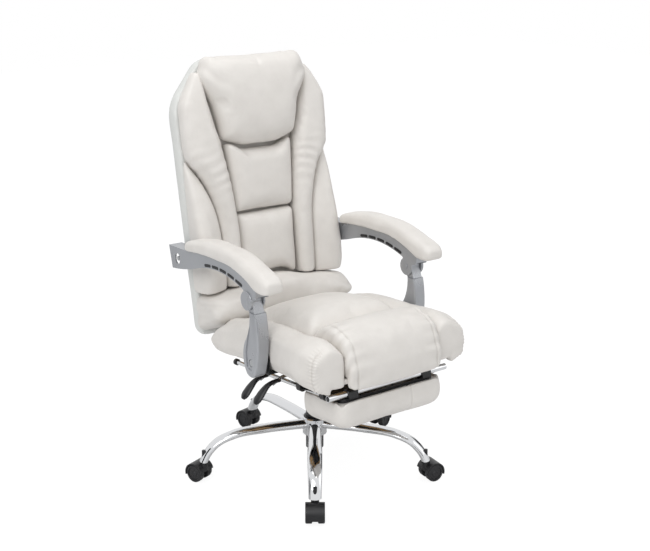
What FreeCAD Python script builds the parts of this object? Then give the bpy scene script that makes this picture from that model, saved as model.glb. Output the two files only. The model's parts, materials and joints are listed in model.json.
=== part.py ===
import FreeCAD, Part
import math
import os

V = FreeCAD.Vector
X_AXIS = V(1, 0, 0)
Y_AXIS = V(0, 1, 0)
Z_AXIS = V(0, 0, 1)

# Frame: origin on the floor under the column, +Z up, -Y towards the sitter's feet,
# +X towards the sitter's left hand. All lengths are in millimetres, angles in degrees.

# Clearances
SEAT_GAP = 0.3          # soft piece to its neighbour
FIT_GAP = 0.05          # fixed metal fit
RUN_GAP = 0.06          # running fit, on the radius

# Star base
LEG_COUNT = 5
FIRST_LEG_ANGLE = -125.3
CASTER_RADIUS = 323.0
LEG_END_Z = 60.0
LEG_CREST_Z = 133.0
LEG_WIDTH = 37.0
LEG_DEPTH = 24.0
HUB_RADIUS = 34.0
HUB_BOTTOM_Z = 99.0
HUB_TOP_Z = 151.0

# Casters
WHEEL_RADIUS = 25.0
WHEEL_WIDTH = 18.0
CASTER_WIDTH = 51.0
CASTER_TRAIL = 18.0
HOOD_WALL = 4.0
HOOD_GAP = 1.2
AXLE_RADIUS = 3.0
STEM_RADIUS = 5.5
STEM_LENGTH = 32.0
CASTER_HEADINGS = (-125.3, -7.3, 20.0, 102.7, 109.7)

# Gas column
COLUMN_RADIUS = 25.0
COLUMN_WALL = 2.0
COLUMN_BOTTOM_Z = 58.0
BUSH_LENGTH = 60.0
BUSH_LIP = 4.0
CYLINDER_RADIUS = 14.0
CYLINDER_WALL = 1.6
CYLINDER_TOP_RADIUS = 12.6
ROD_RADIUS = 5.0
LIFT_TRAVEL = 90.0

# Seat, in its own tilted frame: origin under the board, above the column
SEAT_TILT = 5.5
SEAT_HEIGHT = 362.0
COLUMN_TOP_Z = SEAT_HEIGHT - 62.0
CYLINDER_SHOULDER_Z = SEAT_HEIGHT - 46.0
CYLINDER_TOP_Z = SEAT_HEIGHT - 12.0
SEAT_HALF_WIDTH = 234.0
LOBE_HALF_WIDTH = SEAT_HALF_WIDTH + 16.0
PANEL_HALF_WIDTH = SEAT_HALF_WIDTH - 84.0
SEAT_FRONT = -376.0
SEAT_REAR = 170.0
BOARD_THICKNESS = 12.0
BOARD_HALF_WIDTH = SEAT_HALF_WIDTH - 38.0
BOARD_FRONT = SEAT_FRONT + 30.0
BOARD_REAR = SEAT_REAR - 14.0
SEAT_CROWN = 146.0
SIDE_CROWN = 130.0
ROLL_SPLIT = -205.0
FRONT_DROP = 20.0

# Mechanism under the seat
TRAY_HALF_WIDTH = 92.0
TRAY_FRONT = -142.0
TRAY_REAR = 120.0
TRAY_DEPTH = 38.0
TRAY_WALL = 3.0
SOCKET_WALL = 6.0

# Hand levers on the sitter's right
LEVER_ROD_RADIUS = 4.0
LEVER_DROP = 20.0
LEVER_PIN_RADIUS = 3.0
LEVER_PIN_HALF = 9.0
LEVER_PLACES = (-120.0, -60.0)
LEVER_PIVOT_OUT = 6.0
PADDLE_START_X = 34.0 - SEAT_HALF_WIDTH
PADDLE_LENGTH = 78.0
PADDLE_SLOPE = 27.0

# Footrest, in the seat's frame
TUBE_RADIUS = 8.5
TUBE_WALL = 1.5
TUBE_HALF_LENGTH = 192.0
TUBE_FRONT = -325.0
TUBE_DROP = 33.0
RAIL_RADIUS = 6.0
RAIL_SPACING = TUBE_HALF_LENGTH - 11.0
RAIL_REAR = 125.0
GUIDE_FRONT = -305.0
GUIDE_REAR = -185.0
GUIDE_LUG = 18.0
PAD_HALF_WIDTH = TUBE_HALF_LENGTH - 7.0
PAD_FRONT = -385.0
PAD_REAR = -190.0
PAD_THICKNESS = 68.0
PAD_BOARD = 10.0

# Recline linkage, in the side plane (y, z)
HINGE_Y = 190.0
HINGE_Z = SEAT_HEIGHT + 28.0
POST_Y = -108.0
POST_Z = SEAT_HEIGHT + 44.0
POST_LENGTH = 168.0
HUB_Y = POST_Y + 8.0
HUB_Z = POST_Z + POST_LENGTH
LINK_Y = 255.0
LINK_Z = HUB_Z + 28.0
HINGE_HALF_SPACING = 140.0
LEAF_THICKNESS = 4.0
PIN_RADIUS = 5.0

# Arms
ARM_WIDTH = 40.0
ARM_INNER = SEAT_HALF_WIDTH + 7.0
ARM_OUTER = ARM_INNER + ARM_WIDTH
ARM_WALL = 4.0
HUB_DISC_RADIUS = 25.5
HUB_CAP_THICKNESS = 3.0
KNUCKLE_RADIUS = 17.0
HUB_PIN_RADIUS = 6.0
PAD_OVERHANG = 14.0
SLOT_COUNT = 5

# Back, in its own leaning frame: s up along the back, n forward from its rear face
BACK_LEAN = 7.0
BACK_REAR_Y = 285.0
BACK_BOTTOM_Z = HINGE_Z - 32.0
BACK_LENGTH = 774.0
BACK_HALF_WIDTH = SEAT_HALF_WIDTH + 12.0
BACK_FOOT_HALF_WIDTH = SEAT_HALF_WIDTH - 8.0
BACK_TOP_HALF_WIDTH = 150.0
BACK_SHOULDER = 655.0
COVER_DEPTH = 50.0
BACK_BOARD_THICKNESS = 12.0
SIDE_LIMIT = ARM_INNER - 4.0
EAR_X = ARM_INNER - 35.0
HEADREST_FOOT = 541.0
PANEL_SEAM = 339.0
LUMBAR_TOP = 157.0
LUMBAR_DEPTH = 162.0


def polar(radius, angle, z=0.0):
    a = math.radians(angle)
    return V(radius * math.cos(a), radius * math.sin(a), z)


def seat_place(shape):
    """Tilt a shape from the seat's frame into the chair's frame."""
    placed = shape.copy()
    placed.rotate(V(0, 0, 0), X_AXIS, -SEAT_TILT)
    placed.translate(V(0, 0, SEAT_HEIGHT))
    return placed


def seat_point(x, y, z):
    """A point of the seat's frame, in the chair's frame."""
    t = math.radians(SEAT_TILT)
    return V(x, y * math.cos(t) + z * math.sin(t), SEAT_HEIGHT + z * math.cos(t) - y * math.sin(t))


def back_point(x, s, n):
    """A point of the back's frame, in the chair's frame."""
    a = math.radians(BACK_LEAN)
    return V(x, BACK_REAR_Y + s * math.sin(a) - n * math.cos(a),
             BACK_BOTTOM_Z + s * math.cos(a) + n * math.sin(a))


def back_place(shape):
    """Stand a shape that was made with x, s, n as X, Y, Z in the back's frame."""
    a = math.radians(BACK_LEAN)
    placed = shape.copy()
    matrix = FreeCAD.Matrix(1, 0, 0, 0,
                            0, math.sin(a), -math.cos(a), BACK_REAR_Y,
                            0, math.cos(a), math.sin(a), BACK_BOTTOM_Z,
                            0, 0, 0, 1)
    placed.transformShape(matrix, True)
    return placed


def box(x0, x1, y0, y1, z0, z1):
    return Part.makeBox(x1 - x0, y1 - y0, z1 - z0, V(x0, y0, z0))


def rod(radius, start, end):
    span = end - start
    return Part.makeCylinder(radius, span.Length, start, span)


def bar_x(radius, x0, x1, y, z):
    """A round bar along X, drawn from the smaller to the larger x."""
    return rod(radius, V(min(x0, x1), y, z), V(max(x0, x1), y, z))


def ring(outer, inner, z0, z1):
    body = Part.makeCylinder(outer, z1 - z0, V(0, 0, z0))
    return body.cut(Part.makeCylinder(inner, z1 - z0, V(0, 0, z0)))


def revolved(profile):
    """Turn a closed profile of (radius, z) points about the Z axis."""
    points = [V(r, 0, z) for r, z in profile]
    wire = Part.makePolygon(points + [points[0]])
    return Part.Face(wire).revolve(V(0, 0, 0), Z_AXIS, 360)


def rounded_wire(corners, place):
    """A closed wire of lines and tangent arcs.

    corners holds (u, v, radius); place turns u, v into a point."""
    arcs = []
    count = len(corners)
    for i in range(count):
        before = V(corners[i - 1][0], corners[i - 1][1], 0)
        here = V(corners[i][0], corners[i][1], 0)
        after = V(corners[(i + 1) % count][0], corners[(i + 1) % count][1], 0)
        room = 0.49 * min((before - here).Length, (after - here).Length)
        back = (before - here).normalize()
        ahead = (after - here).normalize()
        half = back.getAngle(ahead) / 2.0
        reach = min(corners[i][2] / math.tan(half), room)
        radius = reach * math.tan(half)
        middle = (back + ahead).normalize()
        centre = here + middle * (radius / math.sin(half))
        arcs.append((here + back * reach, centre - middle * radius, here + ahead * reach))
    edges = []
    for i in range(count):
        start, top, end = [place(p.x, p.y) for p in arcs[i]]
        last = place(arcs[i - 1][2].x, arcs[i - 1][2].y)
        edges.append(Part.LineSegment(last, start).toShape())
        edges.append(Part.Arc(start, top, end).toShape())
    return Part.Wire(edges)


def side_plate(corners, x0, x1):
    """A plate with a rounded outline in the (y, z) plane, from x0 to x1."""
    low = min(x0, x1)
    wire = rounded_wire(corners, lambda y, z: V(low, y, z))
    return Part.Face(wire).extrude(V(abs(x1 - x0), 0, 0))


def flat_plate(corners, z0, z1):
    """A plate with a rounded outline in the (x, y) plane, from z0 to z1."""
    wire = rounded_wire(corners, lambda x, y: V(x, y, z0))
    return Part.Face(wire).extrude(V(0, 0, z1 - z0))


def shrink(corners, inset):
    """The same outline drawn in by about inset on every side."""
    us = [c[0] for c in corners]
    vs = [c[1] for c in corners]
    mid_u = (min(us) + max(us)) / 2.0
    mid_v = (min(vs) + max(vs)) / 2.0
    scale_u = 1.0 - 2.0 * inset / (max(us) - min(us))
    scale_v = 1.0 - 2.0 * inset / (max(vs) - min(vs))
    radius = min(scale_u, scale_v)
    return [(mid_u + (u - mid_u) * scale_u, mid_v + (v - mid_v) * scale_v, r * radius)
            for u, v, r in corners]


def pillow(corners, levels):
    """A crowned cushion: levels holds (height, inset) from its flat base to its crown."""
    wires = [rounded_wire(shrink(corners, inset), lambda u, v, h=height: V(u, v, h))
             for height, inset in eased(levels, 2)]
    return Part.makeLoft(wires, True, True)


def eased(rows, steps):
    """Extra rows between the given ones, on curves that never pass a given value's peak."""
    ts = [row[0] for row in rows]
    columns = []
    for c in range(1, len(rows[0])):
        values = [row[c] for row in rows]
        rates = [(values[i + 1] - values[i]) / (ts[i + 1] - ts[i]) for i in range(len(ts) - 1)]
        slopes = [rates[0]]
        for i in range(1, len(rates)):
            same_way = rates[i - 1] * rates[i] > 0
            slopes.append(2.0 * rates[i - 1] * rates[i] / (rates[i - 1] + rates[i]) if same_way else 0.0)
        slopes.append(rates[-1])
        columns.append((values, slopes))
    result = []
    for i in range(len(ts) - 1):
        span = ts[i + 1] - ts[i]
        for k in range(steps):
            f = k / float(steps)
            row = [ts[i] + f * span]
            for values, slopes in columns:
                row.append((1 + 2 * f) * (1 - f) ** 2 * values[i] + f * (1 - f) ** 2 * span * slopes[i]
                           + f * f * (3 - 2 * f) * values[i + 1] + f * f * (f - 1) * span * slopes[i + 1])
            result.append(row)
    result.append(list(rows[-1]))
    return result


def along(rows, position, column):
    """The value of one column of sorted rows at a position between them."""
    for low, high in zip(rows, rows[1:]):
        if min(low[0], high[0]) <= position <= max(low[0], high[0]):
            share = (position - low[0]) / (high[0] - low[0])
            return low[column] + share * (high[column] - low[column])
    return rows[0][column] if abs(position - rows[0][0]) < abs(position - rows[-1][0]) else rows[-1][column]


def strip(rows, place):
    """A cushion strip lofted through four-cornered sections.

    rows holds (position, u0, u1, v0, v_first, v_last, radius)."""
    wires = []
    for position, u0, u1, v0, v_first, v_last, radius in rows:
        foot = min(5.0, 0.3 * radius)
        corners = [(u0, v0, foot), (u1, v0, foot), (u1, v_last, radius), (u0, v_first, radius)]
        wires.append(rounded_wire(corners, lambda u, v, t=position: place(t, u, v)))
    return Part.makeLoft(wires, True, True)


def mirror_x(shape):
    return shape.mirror(V(0, 0, 0), X_AXIS)


# Star base

def leg():
    """One oval leg along +X, from the hub out and down to its caster."""
    rise = LEG_CREST_Z
    end_r = CASTER_RADIUS + 5.0
    stations = ((HUB_RADIUS - 8.0, rise - 2.0, 0.0, 1.0, 1.08),
                (150.0, rise, -1.0, 1.04, 0.98),
                (238.0, rise - 6.0, -15.0, 1.08, 0.88),
                (284.0, rise - 23.0, -38.0, 1.02, 0.88),
                (310.0, rise - 48.0, -54.0, 0.95, 0.88),
                (end_r, LEG_END_Z - 10.0, -66.0, 0.92, 0.88))
    wires = []
    for r, z, slope, wide, deep in eased(stations, 3):
        a = math.radians(slope)
        along = V(math.cos(a), 0, math.sin(a))
        section = Part.Ellipse(V(0, 0, 0), LEG_WIDTH * wide / 2.0, LEG_DEPTH * deep / 2.0).toShape()
        wire = Part.Wire([section])
        wire.Placement = FreeCAD.Placement(V(r, 0, z), FreeCAD.Rotation(V(0, 1, 0), V(-along.z, 0, along.x), along, "ZXY"))
        wires.append(wire)
    shape = Part.makeLoft(wires, True, True)
    shape = shape.cut(box(0, 2 * CASTER_RADIUS, -LEG_WIDTH, LEG_WIDTH, 0, LEG_END_Z))
    bore = Part.makeCylinder(STEM_RADIUS + RUN_GAP, STEM_LENGTH + 2.0, V(CASTER_RADIUS, 0, LEG_END_Z - 1.0))
    return shape.cut(bore)


def star_base():
    """Hub sleeve and the five legs, welded into one piece."""
    lip = 3.0
    hub = revolved(((0, HUB_BOTTOM_Z), (HUB_RADIUS - lip, HUB_BOTTOM_Z), (HUB_RADIUS, HUB_BOTTOM_Z + lip),
                    (HUB_RADIUS, HUB_TOP_Z - lip), (HUB_RADIUS - lip, HUB_TOP_Z), (0, HUB_TOP_Z)))
    one = leg()
    shape = hub
    for k in range(LEG_COUNT):
        arm = one.copy()
        arm.rotate(V(0, 0, 0), Z_AXIS, FIRST_LEG_ANGLE + k * 360.0 / LEG_COUNT)
        shape = shape.fuse(arm)
    core = Part.makeCylinder(COLUMN_RADIUS + FIT_GAP, HUB_TOP_Z, V(0, 0, HUB_BOTTOM_Z - 20.0))
    return shape.cut(core)


def caster_place(shape, index):
    """Turn a caster made at the origin, trailing along +X, to its own leg."""
    placed = shape.copy()
    placed.rotate(V(0, 0, 0), Z_AXIS, CASTER_HEADINGS[index])
    placed.translate(polar(CASTER_RADIUS, FIRST_LEG_ANGLE + index * 360.0 / LEG_COUNT))
    return placed


def caster_hood():
    """Hood over both wheels, with its web, axle and swivel stem."""
    inner = WHEEL_RADIUS + HOOD_GAP
    outer = inner + HOOD_WALL
    half = CASTER_WIDTH / 2.0
    web_half = half - WHEEL_WIDTH - HOOD_GAP
    centre = V(CASTER_TRAIL, 0, WHEEL_RADIUS)

    def disc(radius, width):
        return Part.makeCylinder(radius, 2 * width, centre - Y_AXIS * width, Y_AXIS)

    fender = disc(outer, half).cut(disc(inner, half))
    web = disc(inner, web_half)
    shade = fender.fuse(web)
    reach = 2.0 * outer
    below = box(-reach, reach + CASTER_TRAIL, -half - 1, half + 1, -reach, WHEEL_RADIUS)
    below.rotate(centre, Y_AXIS, 15)
    shade = shade.cut(below).fuse(disc(7.0, web_half))
    neck_top = LEG_END_Z - SEAT_GAP
    neck = Part.makeCylinder(11.0, neck_top - WHEEL_RADIUS - 8.0, V(0, 0, WHEEL_RADIUS + 8.0))
    neck = neck.cut(disc(inner, half)).fuse(Part.makeCylinder(web_half, 20.0, V(0, 0, WHEEL_RADIUS + 6.0)))
    stem = Part.makeCylinder(STEM_RADIUS, STEM_LENGTH + 6.0, V(0, 0, neck_top - 6.0))
    axle = disc(AXLE_RADIUS, half - 1.5)
    return shade.fuse([neck, stem, axle]).removeSplitter()


def caster_wheel(side):
    """One wheel of a twin-wheel caster; side is +1 or -1 along the axle."""
    bore = AXLE_RADIUS + RUN_GAP
    rim = WHEEL_RADIUS
    width = WHEEL_WIDTH
    edge = 2.5
    dish = 1.5
    profile = ((bore, dish), (rim - 6.0, dish), (rim - 5.0, 0), (rim - edge, 0), (rim, edge),
               (rim, width - edge), (rim - edge, width), (bore, width))
    wheel = revolved(profile)
    wheel.rotate(V(0, 0, 0), X_AXIS, 90 if side > 0 else -90)
    outer_face = side * CASTER_WIDTH / 2.0
    wheel.translate(V(CASTER_TRAIL, outer_face, WHEEL_RADIUS))
    return wheel


# Gas column

def gas_column_tube():
    """Outer column tube, closed at its foot round the piston rod."""
    tube = ring(COLUMN_RADIUS, COLUMN_RADIUS - COLUMN_WALL, COLUMN_BOTTOM_Z, COLUMN_TOP_Z)
    floor = ring(COLUMN_RADIUS - COLUMN_WALL, ROD_RADIUS + FIT_GAP, COLUMN_BOTTOM_Z, COLUMN_BOTTOM_Z + 4.0)
    return tube.fuse(floor).removeSplitter()


def column_guide_bush():
    """Plastic guide inside the top of the tube, with a lip on its rim."""
    bore = CYLINDER_RADIUS + RUN_GAP
    skin = COLUMN_RADIUS - COLUMN_WALL - FIT_GAP
    return revolved(((bore, COLUMN_TOP_Z - BUSH_LENGTH), (skin, COLUMN_TOP_Z - BUSH_LENGTH),
                     (skin, COLUMN_TOP_Z + FIT_GAP), (COLUMN_RADIUS, COLUMN_TOP_Z + FIT_GAP),
                     (COLUMN_RADIUS - 1.5, COLUMN_TOP_Z + BUSH_LIP), (bore, COLUMN_TOP_Z + BUSH_LIP)))


def gas_piston_rod():
    """Piston rod on its thrust bearing, with the piston at its head."""
    foot = COLUMN_BOTTOM_Z + 4.0 + FIT_GAP
    head = foot + LIFT_TRAVEL + 75.0
    bore = CYLINDER_RADIUS - CYLINDER_WALL - RUN_GAP
    return revolved(((0, COLUMN_BOTTOM_Z - 3.0), (ROD_RADIUS, COLUMN_BOTTOM_Z - 3.0), (ROD_RADIUS, foot),
                     (12.0, foot), (12.0, foot + 6.0), (ROD_RADIUS, foot + 6.0), (ROD_RADIUS, head),
                     (bore, head), (bore, head + 14.0), (0, head + 14.0)))


def gas_cylinder():
    """Pressure cylinder that slides and turns in the bush; its taper carries the seat."""
    foot = COLUMN_BOTTOM_Z + 4.0 + FIT_GAP + 8.0
    bore = CYLINDER_RADIUS - CYLINDER_WALL
    seal = ROD_RADIUS + RUN_GAP
    return revolved(((seal, foot), (CYLINDER_RADIUS, foot), (CYLINDER_RADIUS, CYLINDER_SHOULDER_Z),
                     (CYLINDER_TOP_RADIUS, CYLINDER_TOP_Z), (0, CYLINDER_TOP_Z),
                     (0, CYLINDER_SHOULDER_Z), (bore, CYLINDER_SHOULDER_Z - 4.0), (bore, foot + 10.0),
                     (seal, foot + 10.0)))


# Seat

def seat_mechanism():
    """Pressed steel tray under the board, with the taper socket for the column."""
    outer = flat_plate([(-TRAY_HALF_WIDTH, TRAY_FRONT, 20), (TRAY_HALF_WIDTH, TRAY_FRONT, 20),
                        (TRAY_HALF_WIDTH, TRAY_REAR, 20), (-TRAY_HALF_WIDTH, TRAY_REAR, 20)],
                       -TRAY_DEPTH, -FIT_GAP)
    w = TRAY_WALL
    hollow = flat_plate([(-TRAY_HALF_WIDTH + w, TRAY_FRONT + w, 17), (TRAY_HALF_WIDTH - w, TRAY_FRONT + w, 17),
                         (TRAY_HALF_WIDTH - w, TRAY_REAR - w, 17), (-TRAY_HALF_WIDTH + w, TRAY_REAR - w, 17)],
                        -TRAY_DEPTH - 1.0, -w)
    tray = outer.cut(hollow)
    wall_slot = 2.0 * LEVER_ROD_RADIUS + 3.0
    for y in LEVER_PLACES:
        window = box(-TRAY_HALF_WIDTH - 5, -TRAY_HALF_WIDTH + 10, y - wall_slot / 2, y + wall_slot / 2,
                     -LEVER_DROP - wall_slot, -LEVER_DROP + wall_slot)
        tray = tray.cut(window)
        for near in (y - LEVER_PIN_HALF, y + LEVER_PIN_HALF - 3.0):
            lug = box(-TRAY_HALF_WIDTH - LEVER_PIVOT_OUT - 5.0, -TRAY_HALF_WIDTH + 1.0, near, near + 3.0,
                      -LEVER_DROP - 6.0, -LEVER_DROP + 6.0)
            tray = tray.fuse(lug)
        bore = Part.makeCylinder(LEVER_PIN_RADIUS + RUN_GAP, 4.0 * LEVER_PIN_HALF,
                                 V(-TRAY_HALF_WIDTH - LEVER_PIVOT_OUT, y - 2.0 * LEVER_PIN_HALF, -LEVER_DROP), Y_AXIS)
        tray = tray.cut(bore)
    tray = seat_place(tray)
    socket = Part.makeCylinder(CYLINDER_RADIUS + SOCKET_WALL, SEAT_HEIGHT - CYLINDER_SHOULDER_Z,
                               V(0, 0, CYLINDER_SHOULDER_Z + 2.0))
    socket = socket.cut(seat_place(box(-50, 50, -50, 50, -FIT_GAP, 50)))
    bore = revolved(((0, CYLINDER_SHOULDER_Z - 10.0), (CYLINDER_RADIUS + FIT_GAP, CYLINDER_SHOULDER_Z - 10.0),
                     (CYLINDER_RADIUS + FIT_GAP, CYLINDER_SHOULDER_Z),
                     (CYLINDER_TOP_RADIUS + FIT_GAP, CYLINDER_TOP_Z), (CYLINDER_TOP_RADIUS + FIT_GAP, CYLINDER_TOP_Z + 3.0),
                     (0, CYLINDER_TOP_Z + 3.0)))
    return tray.fuse(socket).cut(bore).removeSplitter()


def seat_board():
    """Plywood seat board."""
    corners = [(-BOARD_HALF_WIDTH, BOARD_FRONT, 60), (BOARD_HALF_WIDTH, BOARD_FRONT, 60),
               (BOARD_HALF_WIDTH, BOARD_REAR, 45), (-BOARD_HALF_WIDTH, BOARD_REAR, 45)]
    return seat_place(flat_plate(corners, 0, BOARD_THICKNESS))


def seat_middle_cushion():
    """Crowned middle of the seat, from the lumbar roll to the front roll."""
    base = BOARD_THICKNESS + SEAT_GAP
    half = PANEL_HALF_WIDTH - 1.0
    corners = [(-half, ROLL_SPLIT + 1.0, 20), (half, ROLL_SPLIT + 1.0, 20),
               (half, SEAT_REAR - 50.0, 40), (-half, SEAT_REAR - 50.0, 40)]
    levels = ((base, 2.0), (base + 30, 0.0), (SEAT_CROWN - 48, 5.0), (SEAT_CROWN - 22, 24.0),
              (SEAT_CROWN - 6, 62.0), (SEAT_CROWN, 105.0))
    return seat_place(pillow(corners, levels))


def seat_front_roll():
    """Waterfall roll at the front, between the two lobes."""
    half = PANEL_HALF_WIDTH - 1.0
    base = BOARD_THICKNESS + SEAT_GAP
    lip = BOARD_FRONT - SEAT_GAP
    crown = SEAT_CROWN - 8.0

    def section(x, inset):
        rear = ROLL_SPLIT - max(inset, 0.0)
        corners = [(rear, base, 6), (rear, crown - 26 - inset, 26),
                   (ROLL_SPLIT - 70, crown - inset, 60), (SEAT_FRONT + 20 + inset, crown - 30 - inset, 45),
                   (SEAT_FRONT + inset, 34, 40), (SEAT_FRONT + 2 + inset, -FRONT_DROP + inset, 12),
                   (lip, -FRONT_DROP + inset, 6), (lip, base, 0.2)]
        return rounded_wire(corners, lambda y, z: V(x, y, z))

    stations = ((-half, 9.0), (-half + 14, 2.5), (-half / 2, 0.0), (0, -2.0), (half / 2, 0.0), (half - 14, 2.5),
                (half, 9.0))
    return seat_place(Part.makeLoft([section(*row) for row in eased(stations, 2)], True, True))


def seat_bolster(side):
    """Side of the seat: a rounded bolster that ends in the front lobe."""
    inner = PANEL_HALF_WIDTH + 1.0
    edge = BOARD_HALF_WIDTH + SEAT_GAP
    base = BOARD_THICKNESS + SEAT_GAP

    def section(y, outer, top, rise, foot):
        corners = [(inner, base, 4), (edge, base, 0.2), (edge, foot, 3), (outer - 10, foot, 8),
                   (outer, foot + 34, 30), (outer - 6, top - 24, 26), (inner + 32, top + rise, 30),
                   (inner, top - 22, 18)]
        return rounded_wire(corners, lambda x, z: V(side * x, y, z))

    stations = ((SEAT_REAR - 4, SEAT_HALF_WIDTH - 14, 54, 4, 8), (SEAT_REAR - 20, SEAT_HALF_WIDTH - 5, 76, 4, 2),
                (SEAT_REAR - 72, SEAT_HALF_WIDTH, 108, 4, 0), (SEAT_REAR - 170, SEAT_HALF_WIDTH, SIDE_CROWN - 4, 4, 0),
                (SEAT_REAR - 290, SEAT_HALF_WIDTH, SIDE_CROWN - 4, 4, 0),
                (ROLL_SPLIT, SEAT_HALF_WIDTH + 6, SIDE_CROWN - 8, 2, 0),
                (SEAT_FRONT + 86, LOBE_HALF_WIDTH, SIDE_CROWN - 12, 6, -2),
                (SEAT_FRONT + 36, LOBE_HALF_WIDTH - 3, SIDE_CROWN - 34, 6, -4),
                (SEAT_FRONT + 33, LOBE_HALF_WIDTH - 3, SIDE_CROWN - 36, 6, -4))
    return Part.makeLoft([section(*row) for row in eased(stations, 2)], True, True)


# Levers

def lever_rod(y):
    """Steel lever rod with its pivot pin, from the mechanism out to its paddle."""
    start = seat_point(-TRAY_HALF_WIDTH + 2.0, y, -LEVER_DROP)
    bend = V(PADDLE_START_X + 10.0, start.y, start.z)
    a = math.radians(PADDLE_SLOPE)
    end = bend + V(-math.cos(a), 0, -math.sin(a)) * 34.0
    first = rod(LEVER_ROD_RADIUS, start, bend)
    second = rod(LEVER_ROD_RADIUS, bend, end)
    elbow = Part.makeSphere(LEVER_ROD_RADIUS, bend)
    x = -TRAY_HALF_WIDTH - LEVER_PIVOT_OUT
    pin = rod(LEVER_PIN_RADIUS, seat_point(x, y - LEVER_PIN_HALF, -LEVER_DROP), seat_point(x, y + LEVER_PIN_HALF, -LEVER_DROP))
    return first.fuse([second, elbow, pin]).removeSplitter()


def lever_paddle(y):
    """Moulded hand paddle: narrow neck, broad rounded tip."""
    start = seat_point(PADDLE_START_X, y, -LEVER_DROP)
    stations = ((0, 6.5, 6.5), (14, 7.0, 6.0), (38, 9.0, 5.5), (60, 12.5, 5.0), (PADDLE_LENGTH - 6, 12.0, 4.6),
                (PADDLE_LENGTH, 7.5, 2.5))
    wires = []
    for reach, half_wide, half_deep in eased(stations, 2):
        corners = [(-half_wide, -half_deep, 2), (half_wide, -half_deep, 2), (half_wide, half_deep, 2),
                   (-half_wide, half_deep, 2)]
        wires.append(rounded_wire(corners, lambda u, v, r=reach: V(-r, u, v)))
    paddle = Part.makeLoft(wires, True, True)
    paddle = paddle.cut(rod(LEVER_ROD_RADIUS + FIT_GAP, V(10.0, 0, 0), V(-24.0, 0, 0)))
    paddle.rotate(V(0, 0, 0), Y_AXIS, -PADDLE_SLOPE)
    a = math.radians(PADDLE_SLOPE)
    paddle.translate(V(start.x, start.y, start.z) + V(10, 0, 0) - V(math.cos(a), 0, math.sin(a)) * 10.5)
    return paddle


# Footrest

def footrest_slide_frame():
    """Two slide rods welded to the cross tube."""
    tube = rod(TUBE_RADIUS, V(-TUBE_HALF_LENGTH, TUBE_FRONT, -TUBE_DROP), V(TUBE_HALF_LENGTH, TUBE_FRONT, -TUBE_DROP))
    rails = [rod(RAIL_RADIUS, V(side * RAIL_SPACING, TUBE_FRONT, -TUBE_DROP), V(side * RAIL_SPACING, RAIL_REAR, -TUBE_DROP))
             for side in (-1, 1)]
    hollow = rod(TUBE_RADIUS - TUBE_WALL, V(-TUBE_HALF_LENGTH - 1, TUBE_FRONT, -TUBE_DROP),
                 V(TUBE_HALF_LENGTH + 1, TUBE_FRONT, -TUBE_DROP))
    return seat_place(tube.fuse(rails).cut(hollow).removeSplitter())


def footrest_frame_caps():
    """Plugs in the tube's open ends and stop collars on the rods' rear ends."""
    caps = []
    for side in (-1, 1):
        end = side * (TUBE_HALF_LENGTH - 1.0)
        caps.append(bar_x(TUBE_RADIUS - TUBE_WALL - FIT_GAP, end, end - side * 12.0, TUBE_FRONT, -TUBE_DROP))
        collar = rod(RAIL_RADIUS + 3.0, V(side * RAIL_SPACING, RAIL_REAR - 8.0, -TUBE_DROP),
                     V(side * RAIL_SPACING, RAIL_REAR + 2.0, -TUBE_DROP))
        bore = rod(RAIL_RADIUS + FIT_GAP, V(side * RAIL_SPACING, RAIL_REAR - 9.0, -TUBE_DROP),
                   V(side * RAIL_SPACING, RAIL_REAR + FIT_GAP, -TUBE_DROP))
        caps.append(collar.cut(bore))
    return seat_place(Part.makeCompound(caps))


def footrest_guides():
    """Guide brackets screwed under the board, with a bushed lug at each end."""
    guides = []
    half = RAIL_RADIUS + 5.0
    for side in (-1, 1):
        x = side * RAIL_SPACING
        shape = box(x - half, x + half, GUIDE_FRONT, GUIDE_REAR, -3.0 - FIT_GAP, -FIT_GAP)
        for y0 in (GUIDE_FRONT, GUIDE_REAR - GUIDE_LUG):
            lug = rounded_wire([(x - half, -1.0, 0.5), (x + half, -1.0, 0.5), (x + half, -TUBE_DROP - half, half - 1),
                                (x - half, -TUBE_DROP - half, half - 1)], lambda u, v, y=y0: V(u, y, v))
            shape = shape.fuse(Part.Face(lug).extrude(V(0, GUIDE_LUG, 0)))
        shape = shape.cut(rod(RAIL_RADIUS + RUN_GAP, V(x, GUIDE_FRONT - 5, -TUBE_DROP), V(x, GUIDE_REAR + 5, -TUBE_DROP)))
        guides.append(shape.removeSplitter())
    return seat_place(Part.makeCompound(guides))


def footrest_board():
    """Black board that carries the footrest pad, hung under the cross tube."""
    top = -TUBE_DROP - TUBE_RADIUS - 4.0
    inset = 8.0
    corners = [(-PAD_HALF_WIDTH + inset, PAD_FRONT + inset, 25), (PAD_HALF_WIDTH - inset, PAD_FRONT + inset, 25),
               (PAD_HALF_WIDTH - inset, PAD_REAR - inset, 10), (-PAD_HALF_WIDTH + inset, PAD_REAR - inset, 10)]
    return seat_place(flat_plate(corners, top - PAD_BOARD, top))


def footrest_hinge_clips():
    """Clips that turn on the cross tube and hold the board."""
    clips = []
    reach = TUBE_RADIUS + 4.0
    for x in (-120.0, 120.0):
        corners = [(TUBE_FRONT - reach, -TUBE_DROP + reach, reach - 0.5),
                   (TUBE_FRONT + reach, -TUBE_DROP + reach, reach - 0.5),
                   (TUBE_FRONT + reach, -TUBE_DROP - reach + 3.0, 1.0), (TUBE_FRONT + reach + 22, -TUBE_DROP - reach + 3.0, 1.0),
                   (TUBE_FRONT + reach + 22, -TUBE_DROP - reach + FIT_GAP, 1.0),
                   (TUBE_FRONT - reach, -TUBE_DROP - reach + FIT_GAP, 1.0)]
        clip = side_plate(corners, x - 14, x + 14)
        clips.append(clip.cut(bar_x(TUBE_RADIUS + RUN_GAP, x - 20, x + 20, TUBE_FRONT, -TUBE_DROP)))
    return seat_place(Part.makeCompound(clips))


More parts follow.
